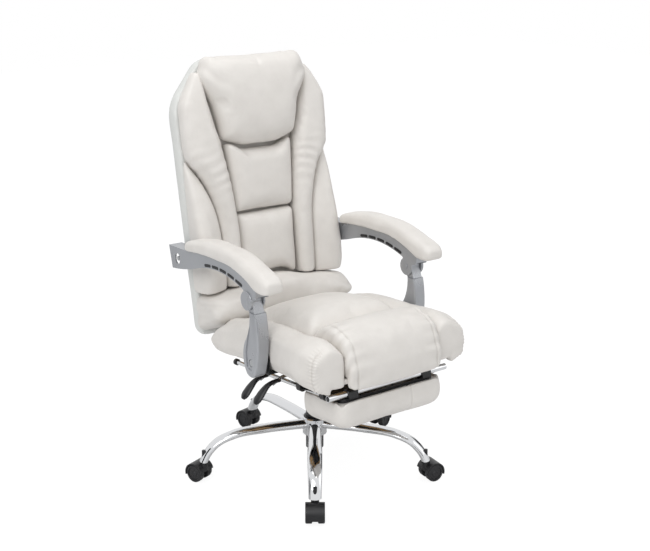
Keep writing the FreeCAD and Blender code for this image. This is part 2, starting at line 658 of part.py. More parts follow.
def footrest_pad():
    """Padded cushion of the footrest, stored face down."""
    top = -TUBE_DROP - TUBE_RADIUS - 4.0 - PAD_BOARD - SEAT_GAP
    corners = [(-PAD_HALF_WIDTH, PAD_FRONT, 38), (PAD_HALF_WIDTH, PAD_FRONT, 38),
               (PAD_HALF_WIDTH, PAD_REAR, 22), (-PAD_HALF_WIDTH, PAD_REAR, 22)]
    depth = PAD_THICKNESS
    levels = ((top, 3.0), (top - 0.2 * depth, 0.0), (top - 0.6 * depth, 1.0), (top - 0.85 * depth, 12.0), (top - depth, 42.0))
    return seat_place(pillow(corners, levels))


# Recline hinge and arm pivots on the seat

def seat_hinge_brackets():
    """Steel brackets from under the seat board up to the recline pins."""
    foot_rear = seat_point(0, SEAT_REAR + 4.0, 0)
    foot_front = seat_point(0, 60, 0)
    eye = 13.0
    brackets = []
    x0 = HINGE_HALF_SPACING - LEAF_THICKNESS - 1.0
    for side in (-1, 1):
        corners = [(foot_front.y, foot_front.z - FIT_GAP, 1), (foot_rear.y, foot_rear.z - FIT_GAP, 2),
                   (HINGE_Y - eye, HINGE_Z - 8, 4), (HINGE_Y - eye, HINGE_Z + eye, eye - 1),
                   (HINGE_Y + eye, HINGE_Z + eye, eye - 1), (HINGE_Y + eye, HINGE_Z - 6, 6),
                   (HINGE_Y + 2, foot_rear.z - 12, 8), (foot_front.y + 20, foot_front.z - 26, 10)]
        plate = side_plate(corners, side * x0, side * (x0 - LEAF_THICKNESS))
        plate = plate.cut(bar_x(PIN_RADIUS + FIT_GAP, side * (x0 - 20), side * (x0 + 5), HINGE_Y, HINGE_Z))
        flange = box(x0 - 40, x0 - LEAF_THICKNESS + 0.5, 70, 140, -3.0 - FIT_GAP, -FIT_GAP)
        flange = seat_place(flange if side > 0 else mirror_x(flange))
        brackets.append(plate.fuse(flange).removeSplitter())
    return Part.makeCompound(brackets)


def back_hinge_leaves():
    """Steel leaves from the back board down to the recline pins."""
    lean = math.radians(BACK_LEAN)
    dy = BACK_REAR_Y - HINGE_Y
    dz = HINGE_Z - BACK_BOTTOM_Z
    eye_n = dy * math.cos(lean) + dz * math.sin(lean)
    eye_s = dz * math.cos(lean) - dy * math.sin(lean)
    eye = 13.0
    base = COVER_DEPTH + FIT_GAP
    foot = 4.0
    leaves = []
    for side in (-1, 1):
        x = side * HINGE_HALF_SPACING
        corners = [(eye_s - eye, eye_n + eye, eye - 1), (eye_s - eye, base, 2), (eye_s + 40, base, 2),
                   (eye_s + 40, base + foot, 1), (eye_s + eye + 1, base + 26, 8), (eye_s + eye, eye_n + eye, eye - 1)]
        wire = rounded_wire(corners, lambda s, n: V(x - LEAF_THICKNESS / 2, s, n))
        leaf = Part.Face(wire).extrude(V(LEAF_THICKNESS, 0, 0))
        leaf = leaf.fuse(box(x - 20, x + 20, eye_s - 4, eye_s + 40, base, base + foot))
        leaf = leaf.cut(Part.makeCylinder(PIN_RADIUS + RUN_GAP, 60, V(x - 30, eye_s, eye_n), X_AXIS))
        leaves.append(leaf.removeSplitter())
    return back_place(Part.makeCompound(leaves))


def post_pivot_plates():
    """Angle plates that carry the arm posts at the seat's edge."""
    plates = []
    edge = SEAT_HALF_WIDTH + 1.0
    low = seat_point(0, POST_Y, -FIT_GAP)
    for side in (-1, 1):
        corners = [(POST_Y - 20, low.z - 4, 2), (POST_Y + 20, low.z - 4, 2), (POST_Y + 17, POST_Z + 17, 15),
                   (POST_Y - 17, POST_Z + 17, 15)]
        ear = side_plate(corners, side * (edge - 4.0), side * edge)
        ear = ear.cut(bar_x(PIN_RADIUS + FIT_GAP, side * (edge - 10), side * (edge + 5), POST_Y, POST_Z))
        foot = box(BOARD_HALF_WIDTH - 46.0, edge - 2.0, POST_Y - 20, POST_Y + 20, -4.0 - FIT_GAP, -FIT_GAP)
        foot = seat_place(foot if side > 0 else mirror_x(foot))
        plates.append(ear.fuse(foot).removeSplitter())
    return Part.makeCompound(plates)


def pivot_bolts():
    """Recline pins and the bolts that the arm posts turn on."""
    bolts = []
    edge = SEAT_HALF_WIDTH + 1.0
    inner = HINGE_HALF_SPACING - 2 * LEAF_THICKNESS - 1.0
    outer = HINGE_HALF_SPACING + LEAF_THICKNESS / 2 + 1.0
    for side in (-1, 1):
        pin = bar_x(PIN_RADIUS, side * (inner - 1), side * (outer + 1), HINGE_Y, HINGE_Z)
        heads = [bar_x(PIN_RADIUS + 3, side * (inner - 5), side * (inner - 1), HINGE_Y, HINGE_Z),
                 bar_x(PIN_RADIUS + 3, side * outer, side * (outer + 3), HINGE_Y, HINGE_Z)]
        bolts.append(pin.fuse(heads).removeSplitter())
        shank = bar_x(PIN_RADIUS, side * (edge - 9), side * (ARM_OUTER - 8), POST_Y, POST_Z)
        nut = bar_x(PIN_RADIUS + 4, side * (edge - 10), side * (edge - 4.0 - FIT_GAP), POST_Y, POST_Z)
        head = bar_x(PIN_RADIUS + 4, side * (ARM_OUTER - 9), side * (ARM_OUTER - 5), POST_Y, POST_Z)
        bolts.append(shank.fuse([nut, head]).removeSplitter())
    return Part.makeCompound(bolts)


# Arms

def arc(a, b, c, x):
    return Part.Arc(V(x, a[0], a[1]), V(x, b[0], b[1]), V(x, c[0], c[1])).toShape()


def line(a, b, x):
    return Part.LineSegment(V(x, a[0], a[1]), V(x, b[0], b[1])).toShape()


def arm_curve(lift):
    """Underside of the arm pad, which is the top edge of the frame."""
    crest = HUB_Z + 76.0 + lift
    return ((LINK_Y + 46, LINK_Z + 30 + lift), (LINK_Y - 57, crest - 14), (LINK_Y - 145, crest - 3), (HUB_Y + 120, crest),
            (HUB_Y + 30, crest - 7), (HUB_Y - 46, crest - 36))


def arm_frame(side):
    """Moulded arm frame: curved channel, slotted outer wall, hub and flared rear end."""
    top = arm_curve(0.0)
    low = ((LINK_Y + 30, LINK_Z - 33), (LINK_Y - 50, HUB_Z + 9), (LINK_Y - 109, HUB_Z + 26), (HUB_Y + 140, HUB_Z + 44),
           (HUB_Y + 16, HUB_Z + 24))
    horn = (HUB_Y - 40, HUB_Z + 14)
    edges = [line(top[0], top[1], ARM_INNER), arc(top[1], top[2], top[3], ARM_INNER),
             arc(top[3], top[4], top[5], ARM_INNER), line(top[5], horn, ARM_INNER),
             line(horn, (HUB_Y, HUB_Z), ARM_INNER), line((HUB_Y, HUB_Z), low[4], ARM_INNER),
             arc(low[4], low[3], low[2], ARM_INNER), arc(low[2], low[1], low[0], ARM_INNER),
             line(low[0], top[0], ARM_INNER)]
    depth = ARM_OUTER - ARM_INNER
    body = Part.Face(Part.Wire(edges)).extrude(V(depth, 0, 0))
    hub = bar_x(HUB_DISC_RADIUS - 0.5, ARM_INNER, ARM_OUTER, HUB_Y, HUB_Z)
    body = body.fuse(hub)
    cut_top = arm_curve(-ARM_WALL)
    x0 = ARM_INNER + ARM_WALL
    x1 = ARM_OUTER - ARM_WALL
    rear = (LINK_Y + 46 - ARM_WALL, LINK_Z + 30 - ARM_WALL)
    front = (HUB_Y - 18.0, cut_top[5][1] + 14.0)
    below = HUB_Z - 34.0
    pocket_edges = [line(rear, cut_top[1], x0), arc(cut_top[1], cut_top[2], cut_top[3], x0),
                    line(cut_top[3], cut_top[4], x0), line(cut_top[4], front, x0), line(front, (front[0], below), x0),
                    line((front[0], below), (rear[0], below), x0), line((rear[0], below), rear, x0)]
    pocket = Part.Face(Part.Wire(pocket_edges)).extrude(V(x1 - x0, 0, 0))
    knuckle_room = bar_x(KNUCKLE_RADIUS + 3.0, x0, x1, HUB_Y, HUB_Z)
    throat = box(x0, x1, HUB_Y - KNUCKLE_RADIUS - 22, HUB_Y + KNUCKLE_RADIUS + 3, HUB_Z - 40, HUB_Z)
    swing_room = box(x0, x1, HUB_Y - KNUCKLE_RADIUS - 26, HUB_Y, HUB_Z - 1, HUB_Z + KNUCKLE_RADIUS)
    body = body.cut([pocket, knuckle_room, throat, swing_room])
    circle = Part.Circle(V(0, low[4][0], low[4][1]), V(0, low[3][0], low[3][1]), V(0, low[2][0], low[2][1]))
    slot_radius = circle.Radius + 8.0
    slots = []
    for k in range(SLOT_COUNT):
        y = HUB_Y + 204.0 - k * 38.0
        angle = math.degrees(math.asin((circle.Center.y - y) / slot_radius))
        slot = box(x1 - 1.0, ARM_OUTER + 1.0, -14.0, 14.0, slot_radius - 2.5, slot_radius + 2.5)
        slot.rotate(V(0, 0, 0), X_AXIS, angle)
        slot.translate(V(0, circle.Center.y, circle.Center.z))
        slots.append(slot)
    pin_bore = bar_x(HUB_PIN_RADIUS + 0.03, ARM_INNER - 1, ARM_OUTER + 1, HUB_Y, HUB_Z)
    oval = side_plate([(LINK_Y - 12, LINK_Z - 15, 11), (LINK_Y + 12, LINK_Z - 15, 11), (LINK_Y + 12, LINK_Z + 15, 11),
                       (LINK_Y - 12, LINK_Z + 15, 11)], ARM_INNER - 1, ARM_OUTER + 1)
    body = body.cut(slots + [pin_bore, oval]).removeSplitter()
    return body if side > 0 else mirror_x(body)


def arm_pad(side):
    """Padded arm top: a rounded bar that droops at its front end."""
    centre = (ARM_INNER + ARM_OUTER) / 2.0
    full = (ARM_OUTER - ARM_INNER) / 2.0 + PAD_OVERHANG
    rear = LINK_Y - 48.0
    stations = ((rear, 64, 80, 0.66), (rear - 11, 58, 88, 0.9), (rear - 57, 62, 100, 0.97), (HUB_Y + 160, 68, 112, 1.0),
                (HUB_Y + 70, 68, 112, 1.0), (HUB_Y, 54, 101, 1.0), (HUB_Y - 50, 37, 88, 1.0), (HUB_Y - 86, 34, 76, 0.92),
                (HUB_Y - 103, 40, 64, 0.66))
    wires = []
    for y, under, over, share in eased(stations, 2):
        low = HUB_Z + under
        high = HUB_Z + over
        half = full * share
        radius = 0.42 * (high - low)
        corners = [(centre - half, low, radius * 0.5), (centre + half, low, radius * 0.5), (centre + half, high, radius),
                   (centre - half, high, radius)]
        wires.append(rounded_wire(corners, lambda x, z, t=y: V(x, t, z)))
    pad = Part.makeLoft(wires, True, True)
    top = arm_curve(SEAT_GAP)
    x = centre - full - 10
    below = HUB_Z - 14.0
    edges = [line(top[0], top[1], x), arc(top[1], top[2], top[3], x), arc(top[3], top[4], top[5], x),
             line(top[5], (top[5][0], below), x), line((top[5][0], below), (top[0][0], below), x),
             line((top[0][0], below), top[0], x)]
    room = Part.Face(Part.Wire(edges)).extrude(V(2 * full + 20, 0, 0))
    pad = pad.cut(room)
    return pad if side > 0 else mirror_x(pad)


def hub_cap(side):
    """Round cap with the pin that joins arm and post."""
    cap = bar_x(HUB_DISC_RADIUS, ARM_OUTER + FIT_GAP, ARM_OUTER + FIT_GAP + HUB_CAP_THICKNESS, HUB_Y, HUB_Z)
    cap = cap.makeChamfer(1.2, [e for e in cap.Edges if abs(e.BoundBox.XMin - (ARM_OUTER + FIT_GAP + HUB_CAP_THICKNESS)) < 0.01
                               and len(e.Vertexes) == 1])
    pin = bar_x(HUB_PIN_RADIUS, ARM_INNER - 1.5, ARM_OUTER + 1.0, HUB_Y, HUB_Z)
    cap = cap.fuse(pin).removeSplitter()
    return cap if side > 0 else mirror_x(cap)


def arm_post(side):
    """Leaf-shaped post from the seat pivot up to the hub knuckle."""
    x0 = ARM_INNER
    x1 = ARM_OUTER - 2.0
    top_z = HUB_Z - 30.0
    edges = [arc((HUB_Y - 33, top_z), (HUB_Y - 43, POST_Z + 70), (POST_Y - 18, POST_Z - 30), x0),
             arc((POST_Y - 18, POST_Z - 30), (POST_Y + 4, POST_Z - 40), (POST_Y + 25, POST_Z - 28), x0),
             arc((POST_Y + 25, POST_Z - 28), (POST_Y + 37, POST_Z + 8), (POST_Y + 22, POST_Z + 62), x0),
             arc((POST_Y + 22, POST_Z + 62), (POST_Y + 6, POST_Z + 102), (HUB_Y - 4, top_z), x0),
             line((HUB_Y - 4, top_z), (HUB_Y - 33, top_z), x0)]
    blade = Part.Face(Part.Wire(edges)).extrude(V(x1 - x0, 0, 0))
    long_edges = [e for e in blade.Edges if e.Length > 60 and abs(e.BoundBox.XLength) < 0.01]
    blade = blade.makeFillet(6.0, long_edges)
    k0 = ARM_INNER + ARM_WALL + 1.0
    k1 = ARM_OUTER - ARM_WALL - 1.0
    knuckle = bar_x(KNUCKLE_RADIUS, k0, k1, HUB_Y, HUB_Z)
    neck = side_plate([(HUB_Y - 31, top_z - 8, 2), (HUB_Y - 6, top_z - 8, 2), (HUB_Y + 12, HUB_Z - 6, 3),
                       (HUB_Y - 15, HUB_Z + 2, 3)], k0, k1)
    post = blade.fuse([knuckle, neck])
    leaf = side_plate([(POST_Y + 2, POST_Z + 110, 3), (POST_Y - 12, POST_Z + 30, 10), (POST_Y - 8, POST_Z - 20, 8),
                       (POST_Y + 16, POST_Z - 18, 10), (POST_Y + 22, POST_Z + 24, 16)], x1 - 2.5, x1 + 1)
    head_room = bar_x(PIN_RADIUS + 5.0, ARM_OUTER - 10, ARM_OUTER + 1, POST_Y, POST_Z)
    shank_room = bar_x(PIN_RADIUS + RUN_GAP, x0 - 1, x1 + 1, POST_Y, POST_Z)
    hub_room = bar_x(HUB_PIN_RADIUS + RUN_GAP, x0 - 1, x1 + 3, HUB_Y, HUB_Z)
    post = post.cut([leaf, head_room, shank_room, hub_room]).removeSplitter()
    return post if side > 0 else mirror_x(post)


# Back

def back_outline(inset):
    """Outline of the back in (x, s), drawn in by inset."""
    foot = BACK_FOOT_HALF_WIDTH - inset
    wide = BACK_HALF_WIDTH - inset
    top = BACK_TOP_HALF_WIDTH - inset * 0.6
    head = BACK_LENGTH - inset
    return [(-foot, inset, 28), (foot, inset, 28), (wide, BACK_SHOULDER, 120), (top, head, 55),
            (-top, head, 55), (-wide, BACK_SHOULDER, 120)]


def back_board():
    """Plywood board of the back, let into the rear cover."""
    wire = rounded_wire(back_outline(18.0), lambda x, s: V(x, s, COVER_DEPTH - BACK_BOARD_THICKNESS))
    return back_place(Part.Face(wire).extrude(V(0, 0, BACK_BOARD_THICKNESS)))


def back_rear_cover():
    """Padded rear shell that wraps round the board."""
    levels = ((0, 16.0), (3, 9.5), (9, 4.5), (26, 0.0), (COVER_DEPTH, 3.0))
    wires = [rounded_wire(back_outline(inset), lambda x, s, n=height: V(x, s, n)) for height, inset in levels]
    shell = Part.makeLoft(wires, True, True)
    wire = rounded_wire(back_outline(18.0 - SEAT_GAP), lambda x, s: V(x, s, COVER_DEPTH - BACK_BOARD_THICKNESS - SEAT_GAP))
    pocket = Part.Face(wire).extrude(V(0, 0, BACK_BOARD_THICKNESS + 10.0))
    return back_place(shell.cut(pocket))


def headrest_cushion():
    """Bulging headrest, wider at the top, with its lower seam curved down."""
    base = COVER_DEPTH + SEAT_GAP
    foot = HEADREST_FOOT
    corners = [(-60, foot - 17, 60), (60, foot - 17, 60), (118, foot + 4, 14), (158, 716, 30), (138, BACK_LENGTH - 8, 22),
               (-138, BACK_LENGTH - 8, 22), (-158, 716, 30), (-118, foot + 4, 14)]
    levels = ((base, 5.0), (base + 16, 0.0), (base + 38, 4.0), (base + 58, 22.0), (base + 68, 55.0), (base + 71, 85.0))
    return back_place(pillow(corners, levels))


def centre_panel(corners):
    """A centre panel between the bolsters, from its outline in (x, s)."""
    base = COVER_DEPTH + SEAT_GAP
    levels = ((base, 3.0), (base + 20, 0.0), (base + 36, 4.0), (base + 45, 18.0), (base + 49, 45.0))
    return back_place(pillow(corners, levels))


def back_upper_panel():
    """Upper centre panel; its top edge follows the headrest's curved seam."""
    foot = PANEL_SEAM + 1.0
    top = HEADREST_FOOT - 1.0
    return centre_panel([(-97, foot, 10), (97, foot, 10), (112, top, 8), (56, top - 20, 60), (-56, top - 20, 60),
                         (-112, top, 8)])


def back_middle_panel():
    """Middle centre panel; its lower edge arches over the lumbar roll."""
    foot = LUMBAR_TOP - 18.0
    top = PANEL_SEAM - 1.0
    return centre_panel([(-97, foot, 8), (-50, foot + 19, 60), (50, foot + 19, 60), (97, foot, 8), (97, top, 10),
                         (-97, top, 10)])


def link_in_back():
    """The arms' rear bolt axis in the back's frame, as (s, n)."""
    lean = math.radians(BACK_LEAN)
    ahead = BACK_REAR_Y - LINK_Y
    up = LINK_Z - BACK_BOTTOM_Z
    return up * math.cos(lean) - ahead * math.sin(lean), ahead * math.cos(lean) + up * math.sin(lean)


def bolster_rows():
    """Rows down a back bolster: (s, inner x, outer x, height of its crown)."""
    foot = along(lumbar_rows(), PANEL_HALF_WIDTH - 50.0, 1) + 1.5
    rows = ((722.0, 166.0, 196.0, 24.0), (700.0, 161.0, 217.0, 36.0), (655.0, 151.0, 236.0, 44.0),
            (600.0, 137.0, 238.0, 47.0), (552.0, 124.0, 237.0, 50.0), (512.0, 117.0, 234.0, 52.0),
            (457.0, 109.0, 200.0, 56.0), (390.0, 103.0, 171.0, 62.0), (322.0, 100.0, 155.0, 66.0),
            (250.0, 99.5, 150.0, 70.0), (foot, 100.0, 150.0, 66.0))
    return eased(rows, 2)


def back_bolster(side):
    """Long bolster that sweeps from the top outer corner down beside the centre."""
    base = COVER_DEPTH + SEAT_GAP
    stations = []
    for s, inner, outer, crown in bolster_rows():
        stations.append((s, inner, outer, base, base + crown, base + crown * 0.92, crown * 0.6))
    return back_place(strip(stations, lambda s, u, n: V(side * u, s, n)))


def back_wing(side):
    """Side wing outside the bolster, deepest beside the arm."""
    base = COVER_DEPTH + SEAT_GAP
    foot = along(lumbar_rows(), PANEL_HALF_WIDTH, 1) + 1.5
    rows = ((500.0, SIDE_LIMIT - 3.5, 12.0, 12.0), (478.0, SIDE_LIMIT - 1, 18.0, 20.0), (430.0, SIDE_LIMIT, 34.0, 42.0),
            (370.0, SIDE_LIMIT, 44.0, 64.0), (300.0, SIDE_LIMIT, 48.0, 84.0), (225.0, SIDE_LIMIT, 50.0, 96.0),
            (165.0, SIDE_LIMIT, 52.0, 96.0), (foot, SIDE_LIMIT - 3, 48.0, 84.0))
    seam = bolster_rows()
    stations = []
    for s, outer, low, high in eased(rows, 2):
        inner = along(seam, s, 2) + 1.0
        stations.append((s, inner, outer, base, base + low, base + high, min(low, 24.0)))
    wing = strip(stations, lambda s, u, n: V(side * u, s, n))
    link_s, link_n = link_in_back()
    room = box(EAR_X - 18.0, EAR_X + 6.0, link_s - 13.0, link_s + 13.0, base - 2.0, link_n + 12.0)
    bolt = Part.makeCylinder(PIN_RADIUS + 1.0, 100.0, V(EAR_X - 56.0, link_s, link_n), X_AXIS)
    for hollow in (room, bolt):
        wing = wing.cut(hollow if side > 0 else mirror_x(hollow))
    return back_place(wing)


def lumbar_rows():
    """Rows across the lumbar roll: (x, s of its top edge, inset)."""
    half = ((0.0, 0.0, 0.0), (50.0, 5.0, 0.0), (100.0, 19.0, 0.0), (PANEL_HALF_WIDTH, 25.0, 0.0),
            (SIDE_LIMIT - 16.0, 31.0, 3.0), (SIDE_LIMIT, 34.0, 12.0))
    right = [(x, LUMBAR_TOP - 2.0 - drop, inset) for x, drop, inset in half]
    left = [(-x, top, inset) for x, top, inset in reversed(right[1:])]
    return left + right


def lumbar_roll():
    """Wide roll at the foot of the back, with a deep rounded front."""
    base = COVER_DEPTH + 4.0 + FIT_GAP + SEAT_GAP

    def section(x, top, inset):
        corners = [(14.0 + inset, base, 3), (40.0 + inset, 94.0 - inset, 10), (66.0 + inset * 0.5, LUMBAR_DEPTH - inset, 36),
                   (top - 24.0, LUMBAR_DEPTH - 6.0 - inset, 34), (top - inset * 0.4, 112.0 - inset, 22), (top - inset * 0.4, base, 3)]
        return rounded_wire(corners, lambda s, n: V(x, s, n))

    roll = Part.makeLoft([section(*row) for row in eased(lumbar_rows(), 2)], True, True)
    for side in (-1, 1):
        x = side * HINGE_HALF_SPACING
        roll = roll.cut(box(x - LEAF_THICKNESS / 2 - 1.5, x + LEAF_THICKNESS / 2 + 1.5, 0, 66, base - 5, 125))
    return back_place(roll)


def back_arm_brackets():
    """Angle brackets on the back board that hold the arms' rear bolts."""
    brackets = []
    link_s, link_n = link_in_back()
    base = COVER_DEPTH + FIT_GAP
    for side in (-1, 1):
        ear = box(EAR_X, EAR_X + 3.0, link_s - 11, link_s + 11, base, link_n + 10)
        foot = box(EAR_X - 16.0, EAR_X + 3.0, link_s - 11, link_s + 11, base, base + 3.0)
        shape = ear.fuse(foot).cut(Part.makeCylinder(PIN_RADIUS + FIT_GAP, 30, V(EAR_X - 11.0, link_s, link_n), X_AXIS))
        shape = shape.removeSplitter()
        brackets.append(shape if side > 0 else mirror_x(shape))
    return back_place(Part.makeCompound(brackets))


def arm_rear_bolts():
    """Bolts from the back through the oval openings in the arms' rear ends."""
    bolts = []
    for side in (-1, 1):
        shank = bar_x(PIN_RADIUS, side * (EAR_X - 4.0), side * (ARM_OUTER - 4), LINK_Y, LINK_Z)
        nut = bar_x(PIN_RADIUS + 1.0, side * (EAR_X - 6.0), side * (EAR_X - 0.2), LINK_Y, LINK_Z)
        head = bar_x(PIN_RADIUS + 1.5, side * (ARM_OUTER - 6), side * (ARM_OUTER - 2), LINK_Y, LINK_Z)
        bolts.append(shank.fuse([nut, head]).removeSplitter())
    return Part.makeCompound(bolts)


def seat_bolster_trimmed(side):
    """Seat bolster with room for the arm post's pivot plate."""
    room = box(SEAT_HALF_WIDTH - 12.0, SEAT_HALF_WIDTH + 40.0, POST_Y - 24, POST_Y + 24, SEAT_HEIGHT - 40, POST_Z + 22)
    body = seat_place(seat_bolster(side))
    return body.cut(room if side > 0 else mirror_x(room))


def build():
    nodes = {
        "star_base": star_base(),
        "gas_column_tube": gas_column_tube(),
        "column_guide_bush": column_guide_bush(),
        "gas_piston_rod": gas_piston_rod(),
        "gas_cylinder": gas_cylinder(),
        "seat_mechanism": seat_mechanism(),
        "seat_board": seat_board(),
        "seat_middle_cushion": seat_middle_cushion(),
        "seat_front_roll": seat_front_roll(),
        "footrest_guides": footrest_guides(),
        "seat_hinge_brackets": seat_hinge_brackets(),
        "post_pivot_plates": post_pivot_plates(),
        "pivot_bolts": pivot_bolts(),
        "lever_height_rod": lever_rod(LEVER_PLACES[0]),
        "lever_height_paddle": lever_paddle(LEVER_PLACES[0]),
        "lever_recline_rod": lever_rod(LEVER_PLACES[1]),
        "lever_recline_paddle": lever_paddle(LEVER_PLACES[1]),
        "footrest_slide_frame": footrest_slide_frame(),
        "footrest_frame_caps": footrest_frame_caps(),
        "footrest_board": footrest_board(),
        "footrest_hinge_clips": footrest_hinge_clips(),
        "footrest_pad": footrest_pad(),
        "back_board": back_board(),
        "back_rear_cover": back_rear_cover(),
        "back_hinge_leaves": back_hinge_leaves(),
        "back_arm_brackets": back_arm_brackets(),
        "arm_rear_bolts": arm_rear_bolts(),
        "headrest_cushion": headrest_cushion(),
        "back_upper_panel": back_upper_panel(),
        "back_middle_panel": back_middle_panel(),
        "lumbar_roll": lumbar_roll(),
    }
    for side, hand in ((1, "left"), (-1, "right")):
        nodes["seat_bolster_" + hand] = seat_bolster_trimmed(side)
        nodes["arm_post_" + hand] = arm_post(side)
        nodes["arm_frame_" + hand] = arm_frame(side)
        nodes["arm_pad_" + hand] = arm_pad(side)
        nodes["hub_cap_" + hand] = hub_cap(side)
        nodes["back_bolster_" + hand] = back_bolster(side)
        nodes["back_wing_" + hand] = back_wing(side)
    hood = caster_hood()
    wheels = {"outer": caster_wheel(1), "inner": caster_wheel(-1)}
    for k in range(LEG_COUNT):
        nodes["caster_%d" % (k + 1)] = caster_place(hood, k)
        for name, wheel in wheels.items():
            nodes["caster_%d_wheel_%s" % (k + 1, name)] = caster_place(wheel, k)
    return nodes


def main():
    os.makedirs("parts", exist_ok=True)
    for name, shape in build().items():
        shape.exportStep("parts/%s.step" % name)
        print(name, "solids", len(shape.Solids), "valid", shape.isValid(), "volume", round(shape.Volume))


main()
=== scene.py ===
"""Reclining office chair with a fold-over footrest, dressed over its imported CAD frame."""

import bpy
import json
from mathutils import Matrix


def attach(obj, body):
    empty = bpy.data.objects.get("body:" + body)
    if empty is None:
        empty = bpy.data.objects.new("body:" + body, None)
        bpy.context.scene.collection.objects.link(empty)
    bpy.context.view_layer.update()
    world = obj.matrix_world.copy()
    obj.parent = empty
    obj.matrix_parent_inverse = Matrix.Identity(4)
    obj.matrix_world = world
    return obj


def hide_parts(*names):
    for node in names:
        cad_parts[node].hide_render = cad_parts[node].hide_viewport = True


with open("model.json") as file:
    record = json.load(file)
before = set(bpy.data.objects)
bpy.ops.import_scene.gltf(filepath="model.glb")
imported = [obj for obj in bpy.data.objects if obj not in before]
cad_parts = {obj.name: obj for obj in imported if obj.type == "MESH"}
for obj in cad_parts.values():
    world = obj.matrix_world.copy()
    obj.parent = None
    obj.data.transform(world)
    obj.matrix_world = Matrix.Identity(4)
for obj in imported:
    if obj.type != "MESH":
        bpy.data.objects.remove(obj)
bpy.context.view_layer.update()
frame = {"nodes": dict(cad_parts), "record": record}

import json
import logging
import math
from dataclasses import dataclass, field
from enum import Enum
from typing import Callable, Dict, List, Optional, Sequence, Tuple

import bmesh
import bpy
import numpy as np
from mathutils import Matrix, Vector, noise

LOG = logging.getLogger("chair")
IMAGE_WIDTH = 650
Point = Tuple[float, float, float]
Carve = Callable[[np.ndarray, np.ndarray], np.ndarray]


def mm(value: float) -> float:
    """Millimetres to metres."""
    return value * 0.001


def linear(code: str) -> Tuple[float, float, float, float]:
    """Turn an sRGB hex colour into linear light.

    Args:
        code: six hex digits, such as "E6E4E0".

    Returns:
        Linear red, green, blue and an alpha of 1.
    """
    channels = [int(code[i:i + 2], 16) / 255.0 for i in (0, 2, 4)]
    lit = [c / 12.92 if c <= 0.04045 else ((c + 0.055) / 1.055) ** 2.4 for c in channels]
    return (lit[0], lit[1], lit[2], 1.0)


def add_node(tree: bpy.types.NodeTree, kind: str, settings: Optional[Dict[str, object]] = None,
             links: Optional[Dict[str, bpy.types.NodeSocket]] = None) -> bpy.types.Node:
    """Add one shader node with its settings and incoming links.

    Args:
        tree: the material's or world's node tree.
        kind: the node's type, without its ShaderNode prefix.
        settings: input names or node properties, and their values.
        links: input names, and the sockets that feed them.

    Returns:
        The new node.
    """
    node = tree.nodes.new("ShaderNode" + kind)
    for name, value in (settings or {}).items():
        if isinstance(name, str) and hasattr(node, name):
            setattr(node, name, value)
        else:
            node.inputs[name].default_value = value
    for name, socket in (links or {}).items():
        tree.links.new(socket, node.inputs[name])
    return node


# Finishes

@dataclass(frozen=True)
class Finish:
    """A finish: its material's name, record slot and base colour."""

    name: str
    slot: str
    colour: str
    roughness: float

    def tree(self) -> Tuple[bpy.types.Material, bpy.types.NodeTree, bpy.types.Node, bpy.types.NodeSocket]:
        """Start a node material.

        Returns:
            The material, its tree, its Principled shader and the Object coordinates.
        """
        material = bpy.data.materials.new(self.name)
        material.use_nodes = True
        tree = material.node_tree
        shader = tree.nodes["Principled BSDF"]
        shader.inputs["Base Color"].default_value = linear(self.colour)
        shader.inputs["Roughness"].default_value = self.roughness
        material.diffuse_color = linear(self.colour)
        place = add_node(tree, "TexCoord").outputs["Object"]
        return material, tree, shader, place

    def make(self) -> bpy.types.Material:
        """Build the finish's material; each kind of finish has its own."""
        raise NotImplementedError


